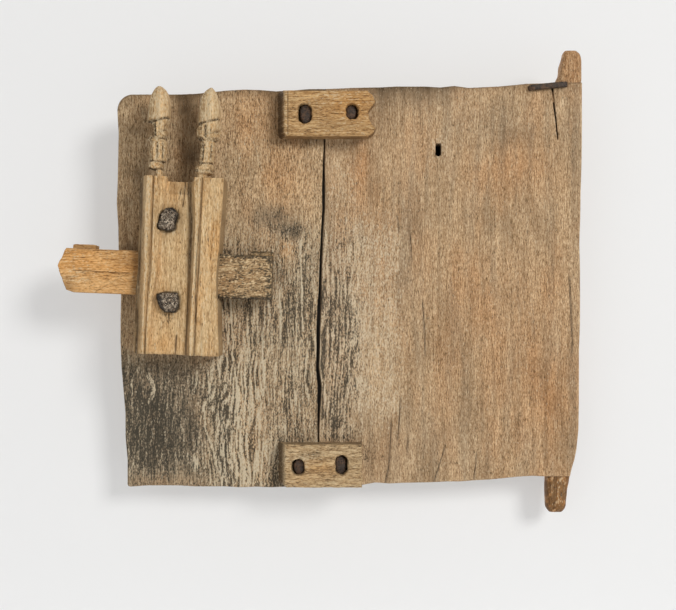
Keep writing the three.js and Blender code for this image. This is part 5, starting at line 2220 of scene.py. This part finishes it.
        # Painted highlight as well as rubbed wear: the ridge tops and the facet that faces right are made
        # paler.
        rubbed_and_lit_ridges = line_at(place - 2.5, 0.8) + line_at(place - 10.6, 1.1)
        rubbed_and_lit_ridges += line_at(place - 5.1, 0.25) + line_at(place - 6.2, 0.3)
        bare = 0.04 + 0.2 * fine + 0.56 * rubbed_and_lit_ridges * front + 0.1 * (place > 13)
        warmth = patches["warmth"] + 0.15 + 0.3 * rise(0, 0.8, rough(u / 14, w / 70, 149))
        return {
            "dirt": patches["dirt"] - 0.06 - 0.1 * fine, "bare": bare, "warmth": warmth,
            "dull": 0.12 * ~front + 0 * u, "gap": gap * (deep < 0.02), "stain_and_shade": stain_and_shade,
        }

    def _figure(self, figure: Figure, finishes: Finishes) -> None:
        """Build one carved figure as rings, cut into facets by a knife.

        A ring of the trunk is a superellipse with exponent 4.5, and a ring of the head is a
        polygon of seven sides. Grooves are cut in front, and where one form meets the next.
        Painted shade browns the left side, the head's side facets and the cuts, and a painted
        highlight pales the front's middle.

        Args:
            figure: The figure.
            finishes: The door's materials.
        """
        exponent, sides_of_head, seed = 4.5, 7, figure.seed
        rows = np.array(figure.sections, dtype=float)
        heights = np.linspace(rows[0, 0], rows[-1, 0], 170)
        left, right, rear, front = (np.interp(heights, rows[:, 0], rows[:, n])[:, None] for n in range(1, 5))
        turn = np.linspace(0, 2 * math.pi, 96, endpoint=False)[None, :]
        cosine, sine = np.cos(turn), np.sin(turn)
        level = heights[:, None] + 0 * turn
        boxy = squared_circle(turn, exponent)
        sector = 2 * math.pi / sides_of_head
        swing = 0.35 + 0.1 * ripple(level / 30, 0 * level, seed + 4)
        faceted = 1.02 * math.cos(sector / 2) / np.cos((turn + swing) % sector - sector / 2)
        head = rise(69, 73, level)
        radius = boxy * (1 - head) + faceted * head * (0.5 + 0.5 * np.minimum(boxy, 1.2))
        around = turn + 0 * level
        sides = cosine * radius
        torso, block = band(22, 42, 3, level), band(51, 67, 2, level)
        cuts = torso * (soft_line(sides + figure.slit, 0.13) + 0.7 * soft_line(sides - 0.72, 0.12))
        cuts += block * soft_line(sides + figure.nick, 0.12)
        cuts += 0.45 * block * soft_line(level - 55 - 3 * sides, 1.6) * (sides > -0.3)
        cuts *= rise(0.2, 0.6, sine)
        joints = ((8.7, 0.5, 1.3), (18.3, 0.6, 1.3), (47.0, 0.5, 1.3), (49.4, 0.4, 1.2), (70.3, 0.8, 1.3))
        for height, strength, half in joints:
            cuts += strength * soft_line(level - height, half)
        facet = 0.09 * ripple(np.round(around * 1.6), level / 9, seed) * (1 - head)
        facet -= 0.09 * rise(0.1, 0.5, ripple(around * 3, level / 4, seed + 2)) * (1 - head)
        facet -= 0.2 * cuts
        scale = radius * (1 + facet)
        u = (left + right) / 2 + cosine * scale * (right - left) / 2
        depth = (rear + front) / 2 + sine * scale * (front - rear) / 2
        slant = 0.3 * (u - (left + right) / 2) * band(62, 84, 7, level)
        w = self.head + level + slant
        points, faces = tube(np.stack([u, -depth, w], axis=2))
        placed = from_lock(points[:, 0], self.back + points[:, 1], points[:, 2])
        # Painted shade: the trunk's left side, its right edge and the head's side facets are browner, and the
        # cuts are darkened by painted shade too.
        painted_shade = (0.5 * rise(0.4, 0.5, -sides) + 0.24 * rise(0.6, 0.7, sides)) * (1 - head)
        painted_shade = painted_shade + head * (0.46 * rise(0.26, 0.32, -sides) + 0.2 * rise(0.46, 0.52, sides))
        knobs = 0.16 * rise(0.1, 0.5, rough(around * 2.2, level / 5, seed + 9)) * (1 - head)
        stain_and_shade = (painted_shade + np.clip(1.1 * cuts, 0, 1) + knobs).ravel()
        grains = rough(points[:, 0] / 2.2, points[:, 2] / 2.4, seed + 5, 1)
        low = (points[:, 2] < 192) * 1.0
        dirt = -0.05 - 0.2 * low * grains
        # Painted highlight: the front's middle is made paler.
        painted_highlight = (1 - rise(0.1, 0.4, np.abs(sides - 0.05))).ravel()
        bare = 0.16 + low * (0.2 + 0.4 * grains) + 0.26 * (1 - low) + 0.3 * painted_highlight
        zero = np.zeros(len(points))
        marks = {
            "dirt": dirt, "bare": bare, "warmth": 0.2 + zero, "dull": 0.05 + zero,
            "gap": 0.2 * rise(0.3, 1, cuts).ravel(), "stain_and_shade": stain_and_shade,
        }
        part = Part(figure.name, "lock_body", "lock_wood", crease=24)
        place_part(part, placed, faces, finishes.lock, marks)

    def _bolt(self, finishes: Finishes) -> None:
        """Build the bolt with its nose, its keyway and its pin holes, and its two raised stops.

        Args:
            finishes: The door's materials.
        """
        thick, half, arris = self.bolt_thick, self.bolt_half, self.bolt_arris
        keyway_at, keyway_step = (-6 + 150) / 268, 0.0008
        across = marks_for(273, 1.5, arris)
        across = np.sort(np.append(across, [keyway_at, keyway_at + keyway_step]))
        up = np.sort(np.append(marks_for(2 * half, 1.1, arris), [0.4999, 0.5001, 0.7856, 0.7858]))
        rim = arris / thick
        steps = [0.15, 0.22, 0.28, 0.34, 0.4, 0.46, 0.52, 0.6, 0.68, 0.76, 0.84, 0.92, 1]
        shell = shell_of(across, np.array([0, 0.25 * rim, 0.6 * rim, rim, *steps]), up)
        inset = edge_inset(np.minimum(shell.deep, 0.5), thick, arris)
        w = -half + inset + shell.up * (2 * half - 2 * inset)
        left = np.interp(w, [-28, -25, 5, 27.5, 28], [-133, -143, -155.3, -145, -144.8]) + inset
        left += 0.7 * rough(w / 7, shell.deep * 3, 151)
        u = left + shell.across * (self.bolt_end - inset - left)
        w = w + 0.5 * rough(u / 40, shell.deep * 2, 157) * np.clip(2 * shell.up - 1, 0, 1)
        crack, scribed, cross = self._bolt_lines(u, w)
        fine = rough(u / 40, w / 2.0, 163)
        chips = (rough(u / 5, w / 4, 173) > 0.45) * (u > 40)
        relief = 0.3 * (1 - fine) + 0.5 * np.abs(rough(u / 26, w / 13, 167)) + 0.4 * chips
        relief += 1.4 * crack + 0.5 * scribed + 0.5 * cross
        front = thick + 0.3 - relief
        keyed = (u > -6) & (w > 0) & (w < 16)
        rear = 0.3 + 18 * keyed
        depth = front + shell.deep * (rear - front)
        away = np.hypot(u - 66, depth - 9.7)
        w = w - 9 * (shell.up > 0.999) * (1 - rise(2.9, 3.8, away))
        hole = (shell.up > 0.99) * (1 - rise(3.2, 4.0, away))
        marks = self._bolt_marks(u, w, depth, shell.deep, fine)
        lines = 0.8 * crack + 0.3 * scribed + 0.4 * cross
        marks["gap"] = np.maximum(lines * (shell.deep < 0.02), hole)
        part = Part("lock_bolt_wood", "lock_bolt", "bolt_wood", Body.BOLT)
        place_part(part, from_lock(u, self.back - depth, w), shell.faces, finishes.bolt, marks)
        self._stop("bolt_stop_left", -138.4, -109.4, 197, finishes)
        self._stop("bolt_stop_right", 90.0, self.bolt_end, 199, finishes)

    @staticmethod
    def _bolt_lines(u: Array, w: Array) -> tuple[Array, Array, Array]:
        """Give the lines in the bolt's front, from 0 beside each to 1 on it.

        Args:
            u: Places across.
            w: Places up.

        Returns:
            The crack, the upright scribed line, and the cross beside it.
        """
        crack = line_at(w + 2.5 + 0.02 * u + rough(u / 9, w / 50, 179), 0.9) * band(-135, -62, 6, u)
        scribed = line_at(u + 113, 0.8) * band(-24, 2, 2, w)
        slant = 0.62 * (u + 86)
        cross = np.maximum(line_at(w + 14 - slant, 0.9), line_at(w + 14 + slant, 0.9))
        return crack, scribed, cross * band(-106, -66, 2, u)

    def _bolt_marks(self, u: Array, w: Array, depth: Array, deep: Array, fine: Array) -> Marks:
        """Give the bolt's weathering, with the lock's painted shadow: clean and warm at the left, bleached
        and sooty at the right.

        Args:
            u: Places across.
            w: Places up.
            depth: Places in front of the planks.
            deep: Shares of the way to the back.
            fine: The fine grain.

        Returns:
            The marks but for the gap.
        """
        grains = rough((u + 34 - depth) / 2.3, w / 2.1, 181, 1)
        swirls = rough((u + 34 - depth) / 12, w / 6, 191)
        right = rise(40, 52, u)
        patches = self.bolt_patches.at(u, w)
        dirt = patches["dirt"] - 0.05 - 0.1 * fine + right * (0.36 - 0.5 * grains - 0.3 * swirls)
        dirt += right * (0.36 * rise(20, 26, w) + 0.3 * rise(-22, -27, w)) + 0.3 * rise(106, 116, u)
        dirt += 0.2 * spot(u, w, (-66, 14), (10, 7)) * (grains < 0.2)
        bare = patches["bare"] + 0.08 + 0.1 * fine + right * (0.16 + 0.5 * grains + 0.2 * swirls)
        # Painted shadow of the lock body: the bolt is browner from just left of the lock inwards; its side
        # faces are browner too.
        stain_and_shade = patches["stain_and_shade"] + 0.3 * rise(-70, -54, u) * (u < 0) + 0.3 * (deep > 0.1)
        stain_and_shade += right * (0.22 + 0.16 * rise(0, 0.6, -swirls) + 0.4 * rise(22, 27, -w))
        stain_and_shade += 0.2 * rise(24, 27, w) + 0.25 * rise(-126, -140, u) * (w < -8)
        stain_and_shade += 0.14 * rise(0.0, 0.6, rough(u / 30, w / 5, 193))
        return {
            "dirt": dirt, "bare": bare, "warmth": 0.5 * (u < 0) + 0.1 * right, "dull": 0.5 * right,
            "stain_and_shade": stain_and_shade,
        }

    def _stop(self, name: str, low: float, high: float, seed: int, finishes: Finishes) -> None:
        """Build one raised stop on the bolt's top edge.

        Args:
            name: The piece's name.
            low: Its left end.
            high: Its right end.
            seed: Which wear this is.
            finishes: The door's materials.
        """
        wide, thick, tall, arris, foot = high - low, 22, 12, 1.2, 22
        sides = ((wide, 1.2), (thick, 1.5), (tall, 1.2))
        shell = shell_of(*(marks_for(length, step, arris) for length, step in sides))
        rim = line_at(np.minimum(shell.deep, 1 - shell.deep) * thick, arris) ** 2
        w = foot + shell.up * (tall - 0.6 * rim)
        w -= 0.9 * shell.up * line_at(np.minimum(shell.across, 1 - shell.across) * wide, 2.5)
        w += 0.4 * shell.up * rough(shell.across * 5, shell.deep * 4, seed)
        u = low + shell.across * wide + 0.3 * rough(w / 4, shell.deep * 5, seed + 1)
        depth = thick - shell.deep * (thick - 0.4)
        upper = rise(0.5, 0.9, shell.up)
        dirt = 0.05 + (u > 0) * (0.42 + 0.3 * upper) - 0.3 * rough(u / 2.4, depth / 3, seed + 2, 1)
        zero = np.zeros_like(u)
        marks = {"dirt": dirt, "bare": 0.2 * (u > 0), "warmth": 0.3 * (u < 0) + zero, "stain_and_shade": 0.3 + zero}
        part = Part(name, "lock_bolt", "bolt_wood", Body.BOLT)
        place_part(part, from_lock(u, self.back - depth, w), shell.faces, finishes.bolt, marks)

    def _spike(self, spike: Spike, finishes: Finishes) -> None:
        """Build one spike: a folded, hammered head, its shank, and its clenched end at the back.

        The head is rings from the shank out to the outline and in again to its middle, lifted
        by noise, so its front is a folded lump.

        Args:
            spike: The spike.
            finishes: The door's materials.
        """
        seed, (centre_u, centre_w) = spike.seed, spike.centre
        corners = np.array(spike.outline, dtype=float)
        closed = np.concatenate([corners, corners[:1]])
        length = np.concatenate([[0], np.cumsum(np.hypot(*np.diff(closed, axis=0).T))])
        along = np.linspace(0, length[-1], 72, endpoint=False)
        ring = np.stack([np.interp(along, length, closed[:, n]) for n in (0, 1)], axis=1)
        shares = np.array([0.55, 0.84, 0.97, 1.02, 1.0, 0.94, 0.85, 0.74, 0.62, 0.5, 0.38, 0.26, 0.14, 0.05])
        levels = np.array([50.2, 50.3, 51.5, 53.6, 56, 57.6, 58.4, 58.8, 58.9, 58.8, 58.7, 58.7, 58.6, 58.6])
        du = shares[:, None] * ring[None, :, 0]
        dw = shares[:, None] * ring[None, :, 1]
        bumpy = rough(du / 6, dw / 6, seed) * 1.3 + rough(du / 2.2, dw / 2.2, seed + 1) * 0.5
        fold = -spike.fold * soft_line(0.8 * du + 0.6 * dw - 3, 1.5)
        lip = 1.0 * rise(6, 11, np.hypot(du, dw)) * np.sign(ripple(du / 7, dw / 7, seed + 2))
        tilt = spike.tilt[0] * du + spike.tilt[1] * dw
        raised = (bumpy + fold + lip + tilt) * rise(51, 57, levels)[:, None]
        depth = np.clip(levels[:, None] + raised, 50.1, 60.6)
        sway = 1 + 0.05 * rough(np.arctan2(dw, du) * 2.5, levels[:, None] / 2 + 0 * du, seed + 3)
        points, faces = tube(np.stack([centre_u + du * sway, -depth, centre_w + dw * sway], axis=2))
        faces = [face[::-1] for face in faces]
        placed = from_lock(points[:, 0], self.back + points[:, 1], points[:, 2])
        # Painted shade: a dark rim where the head's foot meets the wood, and shade on the left edge; on the
        # lower spike, a patch of painted shadow below the head.
        dark = 0.8 * rise(0.86, 1.0, shares)[:, None] * (levels < 58)[:, None] + patched(spike.dark, du, dw)
        dark += spike.left_dark * rise(-5.6, -7.6, du + 0.35 * dw)
        part = Part(f"{spike.name}_head", spike.name, "old_iron", crease=38)
        place_part(part, placed, faces, finishes.spike_iron, {"gap": dark.ravel()})
        front, rear, clench = -51.0, 31.2, 18.5
        depths = self.back + np.array([front, rear, rear])
        bent = from_lock(np.full(3, centre_u), depths, centre_w + np.array([0, 0, clench]))
        path = bent_path([tuple(point) for point in bent], 4.5, 2.0)
        wide = 8.8 - 0.6 * rise(3, 20, path[:, 2] - bent[1][2])
        thick = 8.8 - 4.6 * rise(6, 13, path[:, 1])
        lean = math.radians(LOCK_LEAN)
        side = np.array([math.cos(lean), 0.0, -math.sin(lean)])
        points, faces = level_bar(path, side, wide, thick, seed + 5)
        part = Part(f"{spike.name}_shank", spike.name, "old_iron", crease=60)
        place_part(part, points, faces, finishes.iron)

    def build(self, finishes: Finishes) -> None:
        """Build the lock's pieces.

        Args:
            finishes: The door's materials.
        """
        self._body(finishes)
        for figure in self.figures:
            self._figure(figure, finishes)
        self._bolt(finishes)
        for spike in self.spikes:
            self._spike(spike, finishes)


@dataclass(frozen=True)
class Lamp:
    """One square soft light.

    Attributes:
        name: Its name.
        at: Its place in metres.
        size: Its side in metres.
        power: Its power in watts.
        colour: Its linear colour.
    """

    name: str
    at: tuple[float, float, float]
    size: float
    power: float
    colour: tuple[float, float, float]


@dataclass
class Studio:
    """The pale room, its lights and its camera, in metres."""

    camera_at: tuple[float, float, float] = (-0.2847, -1.517, 0.271)
    lens: float = 61.4
    aim: tuple[float, float, float] = (-0.28, 0.0, 0.29)
    floor: float = -0.16
    backdrop_glow: float = 0.35
    lamps: tuple[Lamp, ...] = (
        Lamp("key", (3.3, -5.2, 2.7), 2.0, 250.0, (1.0, 0.985, 0.96)),
        Lamp("fill", (-2.6, -3.4, 1.4), 2.4, 14.0, (1.0, 0.985, 0.96)),
        Lamp("rear_left", (-1.4, 2.0, 1.5), 1.4, 26.0, (1.0, 1.0, 1.0)),
        Lamp("rear_right", (1.3, 2.0, 0.9), 1.4, 20.0, (1.0, 1.0, 1.0)),
    )
    sky: tuple[float, float, float, float] = (1.0, 0.975, 0.94, 1.0)
    sky_strength: float = 0.34

    def _pale(self, name: str, colour: Colour, one_sided: bool) -> bpy.types.Material:
        """Make a matt pale material.

        Args:
            name: The material's name.
            colour: Its colour.
            one_sided: Whether it is see-through from behind and casts no shadow.

        Returns:
            The material.
        """
        pad = Pad(name)
        mottle = pad.noise((1.0, 1.0, 1.0), 300.0, 2.0)
        shade = pad.mix(pad.number("MULTIPLY", mottle, 0.04), linear(colour), linear((190, 192, 196)))
        pad.links.new(shade, pad.shader.inputs["Base Color"])
        pad.shader.inputs["Roughness"].default_value = 0.95
        pad.shader.inputs["Specular IOR Level"].default_value = 0.1
        if one_sided:
            pad.shader.inputs["Emission Color"].default_value = (1.0, 1.0, 1.0, 1.0)
            pad.shader.inputs["Emission Strength"].default_value = self.backdrop_glow
            clear = pad.nodes.new("ShaderNodeBsdfTransparent")
            either = pad.nodes.new("ShaderNodeMixShader")
            behind = pad.nodes.new("ShaderNodeNewGeometry").outputs["Backfacing"]
            shadow = pad.nodes.new("ShaderNodeLightPath").outputs["Is Shadow Ray"]
            pad.links.new(pad.number("MAXIMUM", behind, shadow), either.inputs[0])
            pad.links.new(pad.shader.outputs[0], either.inputs[1])
            pad.links.new(clear.outputs[0], either.inputs[2])
            pad.links.new(either.outputs[0], pad.output.inputs["Surface"])
        return pad.material

    def _sheet(self, name: str, corners: list[tuple], material: bpy.types.Material) -> None:
        """Add a flat stage piece.

        Args:
            name: The piece's name.
            corners: Its four corners in metres.
            material: Its material.
        """
        mesh = bpy.data.meshes.new(name)
        mesh.from_pydata(corners, [], [[0, 1, 2, 3]])
        mesh.materials.append(material)
        piece = bpy.data.objects.new(name, mesh)
        bpy.context.scene.collection.objects.link(piece)

    def _light(self, lamp: Lamp) -> None:
        """Add a light that points at the aim.

        Args:
            lamp: The light.
        """
        light = bpy.data.lights.new(lamp.name, "AREA")
        light.shape = "SQUARE"
        light.size = lamp.size
        light.energy = lamp.power
        light.color = lamp.colour
        piece = bpy.data.objects.new(lamp.name, light)
        piece.location = lamp.at
        away = np.array(lamp.at) - np.array(self.aim)
        flat = math.hypot(away[0], away[1])
        piece.rotation_euler = (math.atan2(flat, away[2]), 0.0, math.atan2(away[0], -away[1]))
        bpy.context.scene.collection.objects.link(piece)

    def build(self) -> None:
        """Build the backdrop, the floor, the lights, the world and the camera."""
        scene = bpy.context.scene
        backdrop = self._pale("backdrop_paint", (188, 189, 190), True)
        ground = self._pale("floor_paint", (236, 236, 236), False)
        low, high, left, right, reach = self.floor, 2.6, -3.2, 2.6, 4
        rear_low, rear_high = (0.040 + 0.07 * height for height in (low, high))
        foot = [(left, rear_low, low), (right, rear_low, low)]
        wall = [*foot, (right, rear_high, high), (left, rear_high, high)]
        self._sheet("backdrop", wall, backdrop)
        square = ((-reach, -reach), (reach, -reach), (reach, reach), (-reach, reach))
        self._sheet("floor", [(x, y, low) for x, y in square], ground)
        for lamp in self.lamps:
            self._light(lamp)
        world = bpy.data.worlds.new("pale_room")
        world.use_nodes = True
        background = world.node_tree.nodes["Background"]
        background.inputs["Color"].default_value = self.sky
        background.inputs["Strength"].default_value = self.sky_strength
        scene.world = world
        scene.view_settings.view_transform = "Standard"
        camera = bpy.data.cameras.new("camera")
        camera.lens = self.lens
        camera.sensor_width = 36.0
        viewer = bpy.data.objects.new("camera", camera)
        viewer.location = self.camera_at
        viewer.rotation_euler = (math.pi / 2, 0.0, 0.0)
        scene.collection.objects.link(viewer)
        scene.camera = viewer


def dress_tumblers(frame: dict, finishes: Finishes) -> None:
    """Give the two iron tumblers, whose solids are right as they are, their finish.

    Args:
        frame: The frame as loaded.
        finishes: The door's materials.
    """
    for name in ("tumbler_left", "tumbler_right"):
        piece = frame["nodes"][name]
        for slot in piece.material_slots:
            slot.material = finishes.iron
        LOG.info("%s: kept, with forged iron", name)


def main() -> None:
    """Build the door on its frame, piece by piece."""
    logging.basicConfig(level=logging.INFO, format="%(name)s: %(message)s")
    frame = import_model()
    finishes = make_finishes()
    Leaf().build(finishes)
    Cleats().build(finishes)
    Staple().build(finishes)
    Lock().build(finishes)
    dress_tumblers(frame, finishes)
    Studio().build()


if __name__ == "__main__":
    main()
